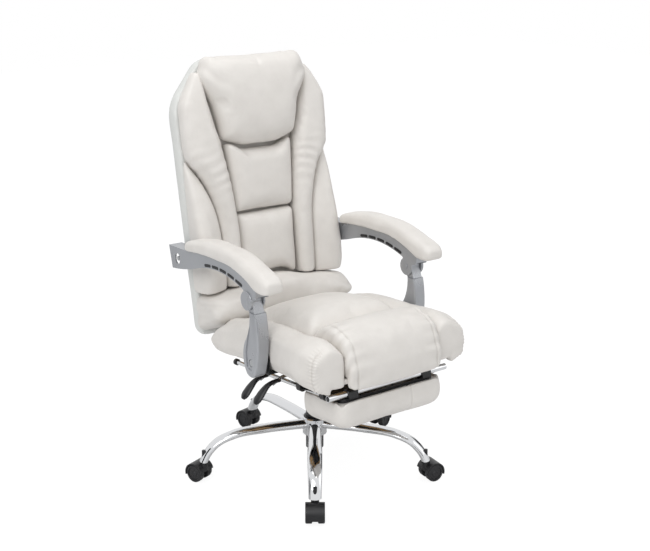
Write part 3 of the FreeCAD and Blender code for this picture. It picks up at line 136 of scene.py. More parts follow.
@dataclass(frozen=True)
class Leatherette(Finish):
    """Embossed PVC-coated fabric: soft sheen, pebbled grain, faint random toning, and painted shade in the seams and
    creases.
    """

    # The darker colour serves both for random toning and for the painted shade in seams and creases.
    tone_and_seam_shade: str = "C3BEB8"
    grain_mm: float = 2.4
    grain_depth_mm: float = 0.16

    def make(self) -> bpy.types.Material:
        """Grain bump over two scales, with soft random toning and painted shade darkening the seams and creases."""
        material, tree, shader, place = self.tree()
        pebble = add_node(tree, "TexVoronoi", {"feature": "SMOOTH_F1", "Scale": 1000.0 / self.grain_mm,
                                               "Smoothness": 0.6}, {"Vector": place})
        fine = add_node(tree, "TexNoise", {"Scale": 1000.0 / 1.1, "Detail": 2.0}, {"Vector": place})
        wave = add_node(tree, "TexNoise", {"Scale": 1000.0 / 42.0, "Detail": 3.0, "Roughness": 0.55},
                        {"Vector": place})
        grain = add_node(tree, "Math", {"operation": "MULTIPLY_ADD"},
                         {0: pebble.outputs["Distance"], 1: fine.outputs["Fac"], 2: pebble.outputs["Distance"]})
        first = add_node(tree, "Bump", {"Strength": 0.45, "Distance": mm(self.grain_depth_mm)},
                         {"Height": grain.outputs[0]})
        second = add_node(tree, "Bump", {"Strength": 0.30, "Distance": mm(1.4)},
                          {"Height": wave.outputs["Fac"], "Normal": first.outputs["Normal"]})
        tree.links.new(second.outputs["Normal"], shader.inputs["Normal"])
        # Painted shade: the seam attribute holds the depth of each groove or dip and mixes the colour towards the
        # darker tone.
        seam = add_node(tree, "Attribute", {"attribute_name": "seam"})
        cloud = add_node(tree, "MapRange", {"From Min": 0.35, "From Max": 0.75, "To Min": 0.0, "To Max": 0.22},
                         {"Value": wave.outputs["Fac"]})
        shade = add_node(tree, "Math", {"operation": "MAXIMUM"}, {0: cloud.outputs[0], 1: seam.outputs["Fac"]})
        mix = add_node(tree, "Mix", {"data_type": "RGBA"}, {0: shade.outputs[0]})
        low, high = [socket for socket in mix.inputs if socket.type == "RGBA"]
        low.default_value = linear(self.colour)
        high.default_value = linear(self.tone_and_seam_shade)
        mixed = [socket for socket in mix.outputs if socket.type == "RGBA"][0]
        tree.links.new(mixed, shader.inputs["Base Color"])
        gloss = add_node(tree, "MapRange", {"From Min": 0.3, "From Max": 0.7, "To Min": self.roughness - 0.04,
                                            "To Max": self.roughness + 0.07}, {"Value": fine.outputs["Fac"]})
        tree.links.new(gloss.outputs[0], shader.inputs["Roughness"])
        shader.inputs["IOR"].default_value = 1.5
        return material


@dataclass(frozen=True)
class MouldedPlastic(Finish):
    """Injection-moulded plastic: spark-eroded satin skin with slight colour drift."""

    texture_mm: float = 0.9
    depth_mm: float = 0.05
    flake: float = 0.0

    def make(self) -> bpy.types.Material:
        """Fine erosion texture in bump and roughness."""
        material, tree, shader, place = self.tree()
        shader.inputs["Metallic"].default_value = self.flake
        skin = add_node(tree, "TexNoise", {"Scale": 1000.0 / self.texture_mm, "Detail": 2.0}, {"Vector": place})
        drift = add_node(tree, "TexNoise", {"Scale": 1000.0 / 60.0, "Detail": 2.0}, {"Vector": place})
        bump = add_node(tree, "Bump", {"Strength": 0.35, "Distance": mm(self.depth_mm)},
                        {"Height": skin.outputs["Fac"]})
        tree.links.new(bump.outputs["Normal"], shader.inputs["Normal"])
        gloss = add_node(tree, "MapRange", {"From Min": 0.3, "From Max": 0.7, "To Min": self.roughness - 0.05,
                                            "To Max": self.roughness + 0.08}, {"Value": drift.outputs["Fac"]})
        tree.links.new(gloss.outputs[0], shader.inputs["Roughness"])
        light = add_node(tree, "HueSaturation", {"Value": 1.0, "Color": linear(self.colour)})
        value = add_node(tree, "MapRange", {"From Min": 0.3, "From Max": 0.7, "To Min": 0.94, "To Max": 1.04},
                         {"Value": drift.outputs["Fac"]})
        tree.links.new(value.outputs[0], light.inputs["Value"])
        tree.links.new(light.outputs["Color"], shader.inputs["Base Color"])
        shader.inputs["IOR"].default_value = 1.46
        return material


@dataclass(frozen=True)
class Metal(Finish):
    """A bare or plated metal; polish_mm is the spacing of its faint polishing marks."""

    polish_mm: float = 3.0
    depth_mm: float = 0.004

    def make(self) -> bpy.types.Material:
        """Metal with faint polishing waves and a little haze in its roughness."""
        material, tree, shader, place = self.tree()
        shader.inputs["Metallic"].default_value = 1.0
        haze = add_node(tree, "TexNoise", {"Scale": 1000.0 / 25.0, "Detail": 3.0}, {"Vector": place})
        marks = add_node(tree, "TexNoise", {"Scale": 1000.0 / self.polish_mm, "Detail": 2.0}, {"Vector": place})
        bump = add_node(tree, "Bump", {"Strength": 0.3, "Distance": mm(self.depth_mm)},
                        {"Height": marks.outputs["Fac"]})
        tree.links.new(bump.outputs["Normal"], shader.inputs["Normal"])
        gloss = add_node(tree, "MapRange", {"From Min": 0.3, "From Max": 0.7, "To Min": self.roughness * 0.7,
                                            "To Max": self.roughness * 1.4}, {"Value": haze.outputs["Fac"]})
        tree.links.new(gloss.outputs[0], shader.inputs["Roughness"])
        return material


@dataclass(frozen=True)
class PowderCoat(Finish):
    """Baked powder paint on steel: fine orange peel."""

    peel_mm: float = 1.6

    def make(self) -> bpy.types.Material:
        """Orange-peel bump under an even satin."""
        material, tree, shader, place = self.tree()
        peel = add_node(tree, "TexNoise", {"Scale": 1000.0 / self.peel_mm, "Detail": 1.0}, {"Vector": place})
        bump = add_node(tree, "Bump", {"Strength": 0.4, "Distance": mm(0.05)}, {"Height": peel.outputs["Fac"]})
        tree.links.new(bump.outputs["Normal"], shader.inputs["Normal"])
        gloss = add_node(tree, "MapRange", {"To Min": self.roughness - 0.05, "To Max": self.roughness + 0.05},
                         {"Value": peel.outputs["Fac"]})
        tree.links.new(gloss.outputs[0], shader.inputs["Roughness"])
        return material


@dataclass(frozen=True)
class Plywood(Finish):
    """Rotary-cut poplar veneer: long soft figure, matt."""

    dark: str = "B08A5C"
    figure_mm: float = 9.0

    def make(self) -> bpy.types.Material:
        """Stretched wave figure in colour and bump."""
        material, tree, shader, place = self.tree()
        turn = add_node(tree, "Mapping", {"Scale": (1.0, 0.12, 0.12)}, {"Vector": place})
        figure = add_node(tree, "TexNoise", {"Scale": 1000.0 / self.figure_mm, "Detail": 4.0},
                          {"Vector": turn.outputs[0]})
        ramp = add_node(tree, "ValToRGB", links={"Fac": figure.outputs["Fac"]})
        ramp.color_ramp.elements[0].color = linear(self.dark)
        ramp.color_ramp.elements[1].color = linear(self.colour)
        tree.links.new(ramp.outputs["Color"], shader.inputs["Base Color"])
        bump = add_node(tree, "Bump", {"Strength": 0.3, "Distance": mm(0.2)}, {"Height": figure.outputs["Fac"]})
        tree.links.new(bump.outputs["Normal"], shader.inputs["Normal"])
        return material


class Skin(Enum):
    """The finishes on this chair."""

    # Each leatherette's darker tone is its random toning and also the painted shade in its seams and creases.
    WHITE = Leatherette("off-white PVC leatherette", "white_leatherette", "E1DDD8", 0.42)
    SHELL = Leatherette("cool white PVC leatherette", "white_shell_leatherette", "DDDEDB", 0.45,
                        tone_and_seam_shade="C2C4C1")
    GREY = MouldedPlastic("silver-grey moulded nylon", "grey_plastic", "ABADB1", 0.30, flake=0.6)
    BLACK = MouldedPlastic("black moulded polypropylene", "black_plastic", "17171A", 0.34)
    TREAD = MouldedPlastic("black nylon tread", "wheel_nylon", "1B1B1E", 0.42)
    CHROME = Metal("bright chrome plate", "chrome_steel", "DADBDD", 0.05)
    ZINC = Metal("zinc-plated steel", "bright_steel", "B4B6B8", 0.24, polish_mm=1.2, depth_mm=0.02)
    POWDER = PowderCoat("black powder coat", "black_steel", "161618", 0.40)
    VENEER = Plywood("poplar plywood", "plywood", "CDAA7B", 0.62)


class Wardrobe:
    """Makes each finish's material once and puts it on pieces."""

    made: Dict[Skin, bpy.types.Material] = {}

    @classmethod
    def material(cls, skin: Skin) -> bpy.types.Material:
        """The material of a finish, built at its first use."""
        if skin not in cls.made:
            cls.made[skin] = skin.value.make()
        return cls.made[skin]

    @classmethod
    def dress(cls, obj: bpy.types.Object, skin: Skin) -> bpy.types.Object:
        """Give a piece one finish."""
        obj.data.materials.clear()
        obj.data.materials.append(cls.material(skin))
        return obj

    @classmethod
    def dress_node(cls, name: str, skin: Skin) -> None:
        """Give a CAD node's object its better material."""
        obj = frame["nodes"][name]
        material = cls.material(skin)
        if obj.data.materials:
            for index in range(len(obj.data.materials)):
                obj.data.materials[index] = material
        else:
            obj.data.materials.append(material)


# Mesh helpers

def new_piece(name: str, shape: bmesh.types.BMesh, smooth_deg: float = 40.0) -> bpy.types.Object:
    """Make an object of a bmesh, smooth but for its sharp edges.

    Args:
        name: the piece's name.
        shape: the bmesh, which is freed.
        smooth_deg: edges sharper than this stay sharp.

    Returns:
        The linked object, with its place in its mesh.
    """
    bmesh.ops.recalc_face_normals(shape, faces=shape.faces)
    mesh = bpy.data.meshes.new(name)
    shape.to_mesh(mesh)
    shape.free()
    mesh.shade_smooth()
    mesh.set_sharp_from_angle(angle=math.radians(smooth_deg))
    obj = bpy.data.objects.new(name, mesh)
    bpy.context.scene.collection.objects.link(obj)
    return obj


def merged_copy(node: str) -> bmesh.types.BMesh:
    """A bmesh copy of a CAD node with its loose triangles merged."""
    shape = bmesh.new()
    shape.from_mesh(frame["nodes"][node].data)
    bmesh.ops.remove_doubles(shape, verts=shape.verts, dist=mm(0.02))
    return shape


def bevelled(obj: bpy.types.Object, width_mm: float, angle_deg: float = 35.0) -> bpy.types.Object:
    """Round a piece's sharp edges with a live Bevel."""
    bevel = obj.modifiers.new("edge", "BEVEL")
    bevel.width = mm(width_mm)
    bevel.segments = 2
    bevel.limit_method = "ANGLE"
    bevel.angle_limit = math.radians(angle_deg)
    return obj


def spun(profile: Sequence[Tuple[float, float]], steps: int, name: str,
         smooth_deg: float = 30.0) -> bpy.types.Object:
    """Turn a closed profile of (radius, z) in millimetres about the Z axis."""
    shape = bmesh.new()
    verts = [shape.verts.new((mm(r), 0.0, mm(z))) for r, z in profile]
    edges = [shape.edges.new((verts[i], verts[(i + 1) % len(verts)])) for i in range(len(verts))]
    bmesh.ops.spin(shape, geom=verts + edges, cent=(0, 0, 0), axis=(0, 0, 1), angle=math.tau, steps=steps,
                   use_merge=True)
    bmesh.ops.remove_doubles(shape, verts=shape.verts, dist=mm(0.01))
    return new_piece(name, shape, smooth_deg)


def spline(rows: Sequence[Sequence[float]], count: int) -> np.ndarray:
    """Points on a smooth curve through rows, evenly spread over its length.

    Args:
        rows: the rows that the curve passes through; the first three columns are its place.
        count: how many rows to return.

    Returns:
        The rows on the curve.
    """
    data = np.array(rows, float)
    gaps = np.linalg.norm(np.diff(data[:, :3], axis=0), axis=1)
    knots = np.concatenate(([0.0], np.cumsum(gaps)))
    slopes = np.gradient(data, knots, axis=0)
    result = []
    for t in np.linspace(0.0, knots[-1], count):
        i = min(int(np.searchsorted(knots, t, side="right")) - 1, len(knots) - 2)
        span = knots[i + 1] - knots[i]
        f = (t - knots[i]) / span
        result.append((1 + 2 * f) * (1 - f) ** 2 * data[i] + f * (1 - f) ** 2 * span * slopes[i]
                      + f * f * (3 - 2 * f) * data[i + 1] + f * f * (f - 1) * span * slopes[i + 1])
    return np.array(result)


def lofted(rows: Sequence[Sequence[float]], steps: int, sides: int) -> Tuple[bmesh.types.BMesh, List[list]]:
    """A tube of ellipses along a curve in the XZ plane.

    Args:
        rows: (x, 0, z, slope, width, depth) along the curve, in millimetres and degrees.
        steps: how many ellipses.
        sides: how many points on each.

    Returns:
        The open tube and its ellipses' edges.
    """
    shape = bmesh.new()
    loops = []
    for x, _, z, slope, wide, deep in spline(rows, steps):
        ring = bmesh.ops.create_circle(shape, cap_ends=False, segments=sides, radius=1.0)["verts"]
        matrix = (Matrix.Translation((mm(x), 0, mm(z))) @ Matrix.Rotation(math.radians(90.0 - slope), 4, "Y")
                  @ Matrix.Diagonal((mm(deep / 2), mm(wide / 2), 1.0, 1.0)))
        bmesh.ops.transform(shape, matrix=matrix, verts=ring)
        loops.append([e for e in shape.edges if e.verts[0] in ring and e.verts[1] in ring])
    for low, high in zip(loops[:-1], loops[1:]):
        bmesh.ops.bridge_loops(shape, edges=low + high)
    return shape, loops


def turned(shape: bmesh.types.BMesh, degrees: float, offset: Point = (0.0, 0.0, 0.0)) -> None:
    """Turn a bmesh about the Z axis, then move it."""
    matrix = Matrix.Translation(offset) @ Matrix.Rotation(math.radians(degrees), 4, "Z")
    bmesh.ops.transform(shape, matrix=matrix, verts=shape.verts)


# The chair's own frames

def fitted(obj: bpy.types.Object, skin: Skin, body: str, node: Optional[str] = None) -> None:
    """Dress a finished piece, let it ride on its body and hide the CAD node it stands for."""
    Wardrobe.dress(obj, skin)
    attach(obj, body)
    if node:
        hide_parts(node)


@dataclass(frozen=True)
class BackFrame:
    """The leaning back's own axes: s up along it, n forward from its rear face."""

    lean: float = 7.0
    rear_y: float = 285.0
    bottom_z: float = 358.0

    def local(self, co: np.ndarray) -> np.ndarray:
        """World points in metres to (x, s, n) in millimetres."""
        a = math.radians(self.lean)
        y = co[:, 1] * 1000.0 - self.rear_y
        z = co[:, 2] * 1000.0 - self.bottom_z
        s = y * math.sin(a) + z * math.cos(a)
        n = -y * math.cos(a) + z * math.sin(a)
        return np.stack((co[:, 0] * 1000.0, s, n), axis=1)

    def world(self, p: np.ndarray) -> np.ndarray:
        """(x, s, n) in millimetres to world points in metres."""
        a = math.radians(self.lean)
        y = self.rear_y + p[:, 1] * math.sin(a) - p[:, 2] * math.cos(a)
        z = self.bottom_z + p[:, 1] * math.cos(a) + p[:, 2] * math.sin(a)
        return np.stack((p[:, 0], y, z), axis=1) * 0.001


@dataclass(frozen=True)
class SeatFrame:
    """The tilted seat's own axes: origin under the board, above the column."""

    tilt: float = 5.5
    height: float = 362.0

    def local(self, co: np.ndarray) -> np.ndarray:
        """World points in metres to seat coordinates in millimetres."""
        t = math.radians(self.tilt)
        y = co[:, 1] * 1000.0
        z = co[:, 2] * 1000.0 - self.height
        ahead, up = y * math.cos(t) - z * math.sin(t), y * math.sin(t) + z * math.cos(t)
        return np.stack((co[:, 0] * 1000.0, ahead, up), axis=1)

    def world(self, p: np.ndarray) -> np.ndarray:
        """Seat coordinates in millimetres to world points in metres."""
        t = math.radians(self.tilt)
        y = p[:, 1] * math.cos(t) + p[:, 2] * math.sin(t)
        z = self.height + p[:, 2] * math.cos(t) - p[:, 1] * math.sin(t)
        return np.stack((p[:, 0], y, z), axis=1) * 0.001


BACK = BackFrame()
SEAT = SeatFrame()


# Forms: how a cover is pulled over its solid before it is puffed

def smoothstep(value: np.ndarray, low: float, high: float) -> np.ndarray:
    """0 below low, 1 above high, and an easy slope between them."""
    t = np.clip((value - low) / (high - low), 0.0, 1.0)
    return t * t * (3.0 - 2.0 * t)


def lobe_form(co: np.ndarray) -> np.ndarray:
    """Draw a seat bolster's lobe down over the board's front, and its low rear end back and outward."""
    p = SEAT.local(co)
    front = -p[:, 1].min()
    ahead = p[:, 1] < -200.0
    p[ahead, 1] = -200.0 + (p[ahead, 1] + 200.0) * (351.0 - 200.0) / (front - 200.0)
    low = 1.0 - smoothstep(p[:, 2], 0.0, 80.0)
    outer = smoothstep(np.abs(p[:, 0]), 205.0, 240.0)
    inner = 1.0 - smoothstep(np.abs(p[:, 0]), 176.0, 240.0)
    p[:, 2] -= (2.0 + 20.0 * inner) * smoothstep(-p[:, 1], 292.0, 343.0) * low
    rear = smoothstep(p[:, 1], 40.0, 165.0)
    p[:, 2] *= 1.0 - 0.10 * smoothstep(p[:, 1], -60.0, 110.0) * (1.0 - rear)
    p[:, 1] += 26.0 * rear * outer
    p[:, 0] += np.sign(p[:, 0]) * 10.0 * rear * outer
    return SEAT.world(p)


def lumbar_form(co: np.ndarray) -> np.ndarray:
    """Let the lumbar roll stand on the seat, as full below as above."""
    p = BACK.local(co)
    p[:, 2] += 20.0 * (1.0 - smoothstep(p[:, 1], 30.0, 120.0)) * smoothstep(p[:, 2], 60.0, 110.0)
    return BACK.world(p)


def middle_form(co: np.ndarray) -> np.ndarray:
    """Let the seat's middle sink towards the back, where the lumbar roll stands on it."""
    p = SEAT.local(co)
    p[:, 2] *= 1.0 - 0.17 * smoothstep(p[:, 1], -90.0, 110.0)
    return SEAT.world(p)


def footrest_form(co: np.ndarray) -> np.ndarray:
    """Draw the footrest's pad back under its tube, with its rim turned up over the board's edge."""
    p = SEAT.local(co)
    top = p[:, 2].max()
    p[:, 1] = -174.0 + (p[:, 1] + 190.0) * 0.9
    p[:, 0] *= 0.93
    rim = np.maximum(smoothstep(-p[:, 1], 336.0, 346.0), smoothstep(np.abs(p[:, 0]), 160.0, 168.0))
    p[:, 2] += 9.0 * rim * smoothstep(p[:, 2], top - 16.0, top - 4.0)
    return SEAT.world(p)


def board_form(co: np.ndarray) -> np.ndarray:
    """Draw the footrest's board back inside the pad's rim."""
    p = SEAT.local(co)
    p[:, 1] = -176.0 + (p[:, 1] + 190.0) * 0.82
    p[:, 0] *= 0.86
    return SEAT.world(p)


def headrest_form(co: np.ndarray) -> np.ndarray:
    """Gather the headrest's upper corners outward, and draw its top up over the shell's rim."""
    p = BACK.local(co)
    out = smoothstep(p[:, 1], 630.0, 738.0) * smoothstep(np.abs(p[:, 0]), 50.0, 158.0)
    p[:, 0] *= 1.0 + 0.14 * out
    p[:, 1] += 14.0 * smoothstep(p[:, 1], 660.0, 748.0)
    return BACK.world(p)


def bolster_form(co: np.ndarray) -> np.ndarray:
    """Draw a back bolster's tip up beside the headrest, narrowing to a point."""
    p = BACK.local(co)
    tip = smoothstep(p[:, 1], 640.0, 728.0)
    p[:, 1] += 16.0 * tip
    p[:, 0] += (np.sign(p[:, 0]) * 166.0 - p[:, 0]) * 0.35 * tip
    return BACK.world(p)


# Upholstery

def drift(co: np.ndarray, size_mm: float, seed: float) -> np.ndarray:
    """Smooth noise between -1 and 1 at points in millimetres."""
    return np.array([noise.noise(Vector((p[0] / size_mm + seed, p[1] / size_mm, p[2] / size_mm))) for p in co])


@dataclass
class Cushion:
    """One upholstered piece: its CAD solid, remeshed, puffed as cloth and then sewn.

    carve takes world points and normals in metres and returns how far each point moves along
    its normal in millimetres, negative for a seam or crease.
    """

    node: str
    body: str
    skin: Skin = Skin.WHITE
    voxel_mm: float = 5.0
    swell_mm: float = 8.0
    side_share: float = 0.35
    fill: float = 0.7
    carve: Optional[Carve] = None
    form: Optional[Callable[[np.ndarray], np.ndarray]] = None
    calm: int = 2
    finer: bool = True
    obj: Optional[bpy.types.Object] = None
    start: Optional[np.ndarray] = None

    def remesh(self) -> None:
        """Copy the CAD solid into an even voxel skin."""
        self.obj = new_piece(self.node + "_cover", merged_copy(self.node), 180.0)
        step = self.obj.modifiers.new("skin", "REMESH")
        step.mode = "VOXEL"
        step.voxel_size = mm(self.voxel_mm)
        self.bake()
        shape = bmesh.new()
        shape.from_mesh(self.obj.data)
        for _ in range(3):
            bmesh.ops.smooth_vert(shape, verts=shape.verts, factor=0.5,
                                  use_axis_x=True, use_axis_y=True, use_axis_z=True)
        shape.to_mesh(self.obj.data)
        shape.free()
        if self.form:
            self.put(self.form(self.read("co")))
        self.start = self.read("co")

    def bake(self) -> None:
        """Apply every modifier of the piece to its mesh."""
        graph = bpy.context.evaluated_depsgraph_get()
        graph.update()
        mesh = bpy.data.meshes.new_from_object(self.obj.evaluated_get(graph))
        self.obj.modifiers.clear()
        self.obj.data = mesh

    def read(self, what: str, mesh: Optional[bpy.types.Mesh] = None) -> np.ndarray:
        """Each vertex's "co" in metres, or its "normal"."""
        vertices = (mesh or self.obj.data).vertices
        values = np.zeros(len(vertices) * 3)
        vertices.foreach_get(what, values)
        return values.reshape(-1, 3)

    def put(self, co: np.ndarray) -> None:
        """Move the piece's points."""
        self.obj.data.vertices.foreach_set("co", co.reshape(-1))
        self.obj.data.update()

    def hang_cloth(self) -> None:
        """Add the cloth that puffs the skin."""
        cloth = self.obj.modifiers.new("puff", "CLOTH")
        cover = cloth.settings
        cover.quality = 4
        cover.mass = 0.3
        cover.tension_stiffness = cover.compression_stiffness = 15.0
        cover.shear_stiffness = 5.0
        cover.bending_stiffness = 0.5
        cover.use_pressure = True
        cover.uniform_pressure_force = 4.0
        cover.effector_weights.gravity = 0.0
        cloth.point_cache.frame_start = 1
        cloth.point_cache.frame_end = 20

    def settle(self) -> None:
        """Keep the puffed shape, capped, and sideways swelling held back by the neighbours."""
        graph = bpy.context.evaluated_depsgraph_get()
        co = self.read("co", self.obj.evaluated_get(graph).to_mesh())
        self.obj.modifiers.clear()
        move = co - self.start
        lengths = np.linalg.norm(move, axis=1, keepdims=True)
        cap = mm(self.swell_mm)
        eased = cap * np.tanh(lengths / cap)
        move = move * (eased / np.maximum(lengths, 1e-9))
        front = self.facing()
        move *= (self.side_share + (1.0 - self.side_share) * front)[:, None]
        edges = np.zeros(len(self.obj.data.edges) * 2, dtype=np.int64)
        self.obj.data.edges.foreach_get("vertices", edges)
        first, second = edges.reshape(-1, 2).T
        count = np.bincount(edges, minlength=len(move))[:, None]
        for _ in range(self.calm):
            total = np.stack([np.bincount(first, move[second, k], len(move))
                              + np.bincount(second, move[first, k], len(move)) for k in range(3)], axis=1)
            move = 0.5 * move + 0.5 * total / np.maximum(count, 1)
        self.put(self.start + move)

    def facing(self) -> np.ndarray:
        """How far each point faces out of the chair, from 0 at the sides to 1 at the crown."""
        face = self.read("normal")
        out = Vector((0.0, -0.9925, 0.1219)) if self.body == "back" else Vector((0.0, 0.096, 0.995))
        if self.body == "footrest_flap":
            out = -out
        return np.clip(face @ np.array(out), 0.0, 1.0)

    def sew(self) -> None:
        """Subdivide once, then press in seams and creases and keep their shade as an attribute."""
        if self.finer:
            level = self.obj.modifiers.new("finer", "SUBSURF")
            level.levels = level.render_levels = 1
            self.bake()
        co, face = self.read("co"), self.read("normal")
        depth = self.carve(co, face) if self.carve else np.zeros(len(co))
        self.put(co + face * depth[:, None] * 0.001)
        # Painted shade: the deeper a seam, crease or dip, the darker the leatherette is coloured there.
        seam = self.obj.data.attributes.new("seam", "FLOAT", "POINT")
        seam.data.foreach_set("value", np.clip(-depth / 6.0, 0.0, 0.7).astype(np.float32))

    def finish(self) -> None:
        """Dress the piece, let it ride and hide the CAD node it stands for."""
        self.obj.data.shade_smooth()
        fitted(self.obj, self.skin, self.body, self.node)
        LOG.info("cushion %s: %d points", self.obj.name, len(self.obj.data.vertices))


def groove(distance: np.ndarray, width: float, depth: float) -> np.ndarray:
    """A rounded groove of that half-width and depth along a line, in millimetres."""
    return -depth * np.exp(-(distance / width) ** 2)


def uneven(depth: float, size_mm: float, seed: float) -> Carve:
    """A carving that is only a little unevenness, on a piece of the back."""
    return lambda co, face: depth * drift(BACK.local(co), size_mm, seed)


@dataclass
class Upholstery:
    """All the padded pieces of the seat, back, arms and footrest."""

    cushions: List[Cushion] = field(default_factory=list)

    def plan(self) -> None:
        """List the padded pieces with what is sewn into each."""
        add = self.cushions.append
        add(Cushion("seat_middle_cushion", "seat", swell_mm=9.0, carve=self.seat_middle, form=middle_form))
        add(Cushion("seat_front_roll", "seat", swell_mm=9.0, carve=self.front_roll))
        add(Cushion("lumbar_roll", "back", swell_mm=8.0, carve=self.lumbar, form=lumbar_form))
        add(Cushion("headrest_cushion", "back", swell_mm=10.0, side_share=0.45, carve=self.headrest,
                    form=headrest_form))
        add(Cushion("back_upper_panel", "back", swell_mm=8.0, side_share=0.35, carve=uneven(1.2, 60.0, 4.0), calm=14))
        add(Cushion("back_middle_panel", "back", swell_mm=8.0, side_share=0.35, carve=uneven(1.2, 60.0, 4.0), calm=14))
        add(Cushion("footrest_pad", "footrest_flap", swell_mm=6.0, carve=self.footrest, form=footrest_form))
        for hand in ("left", "right"):
            add(Cushion("seat_bolster_" + hand, "seat", swell_mm=9.0, side_share=0.5, carve=self.seat_bolster,
                        form=lobe_form))
            add(Cushion("back_bolster_" + hand, "back", swell_mm=9.0, side_share=0.4, carve=self.bolster,
                        form=bolster_form))
            add(Cushion("back_wing_" + hand, "back", swell_mm=6.0, side_share=0.2, carve=uneven(1.1, 60.0, 14.0)))
            add(Cushion("arm_pad_" + hand, "arm_" + hand, voxel_mm=4.0, swell_mm=5.0, side_share=0.6,
                        carve=lambda co, face: 0.6 * drift(co * 1000.0, 50.0, 15.0)))
        add(Cushion("back_rear_cover", "back", skin=Skin.SHELL, voxel_mm=6.0, swell_mm=3.0, finer=False,
                    carve=self.rear_cover))

    def seat_middle(self, co: np.ndarray, face: np.ndarray) -> np.ndarray:
        """Light drag lines on the seat's middle."""
        p = SEAT.local(co)
        top = np.clip(face[:, 2], 0.0, 1.0)
        return top * 1.6 * drift(p, 90.0, 3.0)

    def front_roll(self, co: np.ndarray, face: np.ndarray) -> np.ndarray:
        """Gathers fanning from the roll's ends, and the gusset's seam inside each end."""
        p = SEAT.local(co)
        ends = smoothstep(np.abs(p[:, 0]), 70.0, 126.0)
        ripple = np.sin(p[:, 1] * 0.16 + p[:, 2] * 0.13 + 2.0 * drift(p, 60.0, 8.0))
        seam = groove(np.abs(np.abs(p[:, 0]) - 128.0), 2.6, 3.0)
        return 1.4 * drift(p, 80.0, 5.0) + 1.2 * ends * ripple + seam

    def lumbar(self, co: np.ndarray, face: np.ndarray) -> np.ndarray:
        """Soft gathers at both ends of the lumbar roll."""
        p = BACK.local(co)
        ends = smoothstep(np.abs(p[:, 0]), 120.0, 230.0)
        ripple = np.sin(p[:, 1] * 0.17 + 0.03 * p[:, 0] + 2.5 * drift(p, 50.0, 9.0))
        return 1.2 * drift(p, 80.0, 7.0) + 1.5 * ends * ripple

    def headrest(self, co: np.ndarray, face: np.ndarray) -> np.ndarray:
        """Gathers at the headrest's upper corners."""
        p = BACK.local(co)
        corner = smoothstep(np.abs(p[:, 0]), 80.0, 135.0) * smoothstep(p[:, 1], 640.0, 740.0)
        ripple = np.sin(np.arctan2(p[:, 1] - 640.0, np.abs(p[:, 0]) - 40.0) * 16.0 + 2.0 * drift(p, 50.0, 2.0))
        return 1.3 * drift(p, 70.0, 1.0) + 1.6 * corner * ripple

    def seat_bolster(self, co: np.ndarray, face: np.ndarray) -> np.ndarray:
        """The lobe's puckered seam round its front and light creases along the side."""
        p = SEAT.local(co)
        side = np.abs(p[:, 0])
        away = np.abs(p[:, 1] + 332.0 + 0.10 * (side - 200.0))
        turn = np.arctan2(p[:, 2] - 50.0, side - 200.0)
        pucker = np.sin(turn * 34.0 + 2.0 * drift(p, 40.0, 3.0)) * np.exp(-((away - 7.0) / 9.0) ** 2)
        outer = smoothstep(side, 196.0, 226.0)
        return 1.4 * drift(p, 70.0, 6.0) + outer * (1.1 * pucker + groove(away, 2.6, 3.2))

    def bolster(self, co: np.ndarray, face: np.ndarray) -> np.ndarray:
        """Cross wrinkles where the bolster bends."""
        p = BACK.local(co)
        bend = np.exp(-((p[:, 1] - 470.0) / 80.0) ** 2) * (0.5 + 0.5 * drift(p, 45.0, 21.0))
        ripple = np.sin(p[:, 1] * 0.21 + 0.06 * np.abs(p[:, 0]) + 3.2 * drift(p, 75.0, 12.0))
        return 1.2 * drift(p, 70.0, 11.0) + 1.2 * bend * ripple

    def footrest(self, co: np.ndarray, face: np.ndarray) -> np.ndarray:
        """The upright seam near the pad's left end."""
        p = SEAT.local(co)
        return groove(np.abs(p[:, 0] - 58.0), 2.5, 2.2) + 0.9 * drift(p, 70.0, 16.0)

    def rear_cover(self, co: np.ndarray, face: np.ndarray) -> np.ndarray:
        """The seam round the shell's side and a slight unevenness behind."""
        p = BACK.local(co)
        rim = np.clip(1.0 - np.abs(face[:, 1]), 0.0, 1.0)
        return groove(np.abs(p[:, 2] - 46.0), 2.6, 2.0) * rim + 1.0 * drift(p, 120.0, 18.0)

    def build(self) -> None:
        """Make every padded piece."""
        self.plan()
        for cushion in self.cushions:
            cushion.remesh()
        for cushion in self.cushions:
            cushion.hang_cloth()
        for number in range(1, 21):
            bpy.context.scene.frame_set(number)
        for cushion in self.cushions:
            cushion.settle()
        bpy.context.scene.frame_set(1)
        for cushion in self.cushions:
            cushion.sew()
            cushion.finish()


# Rigid pieces

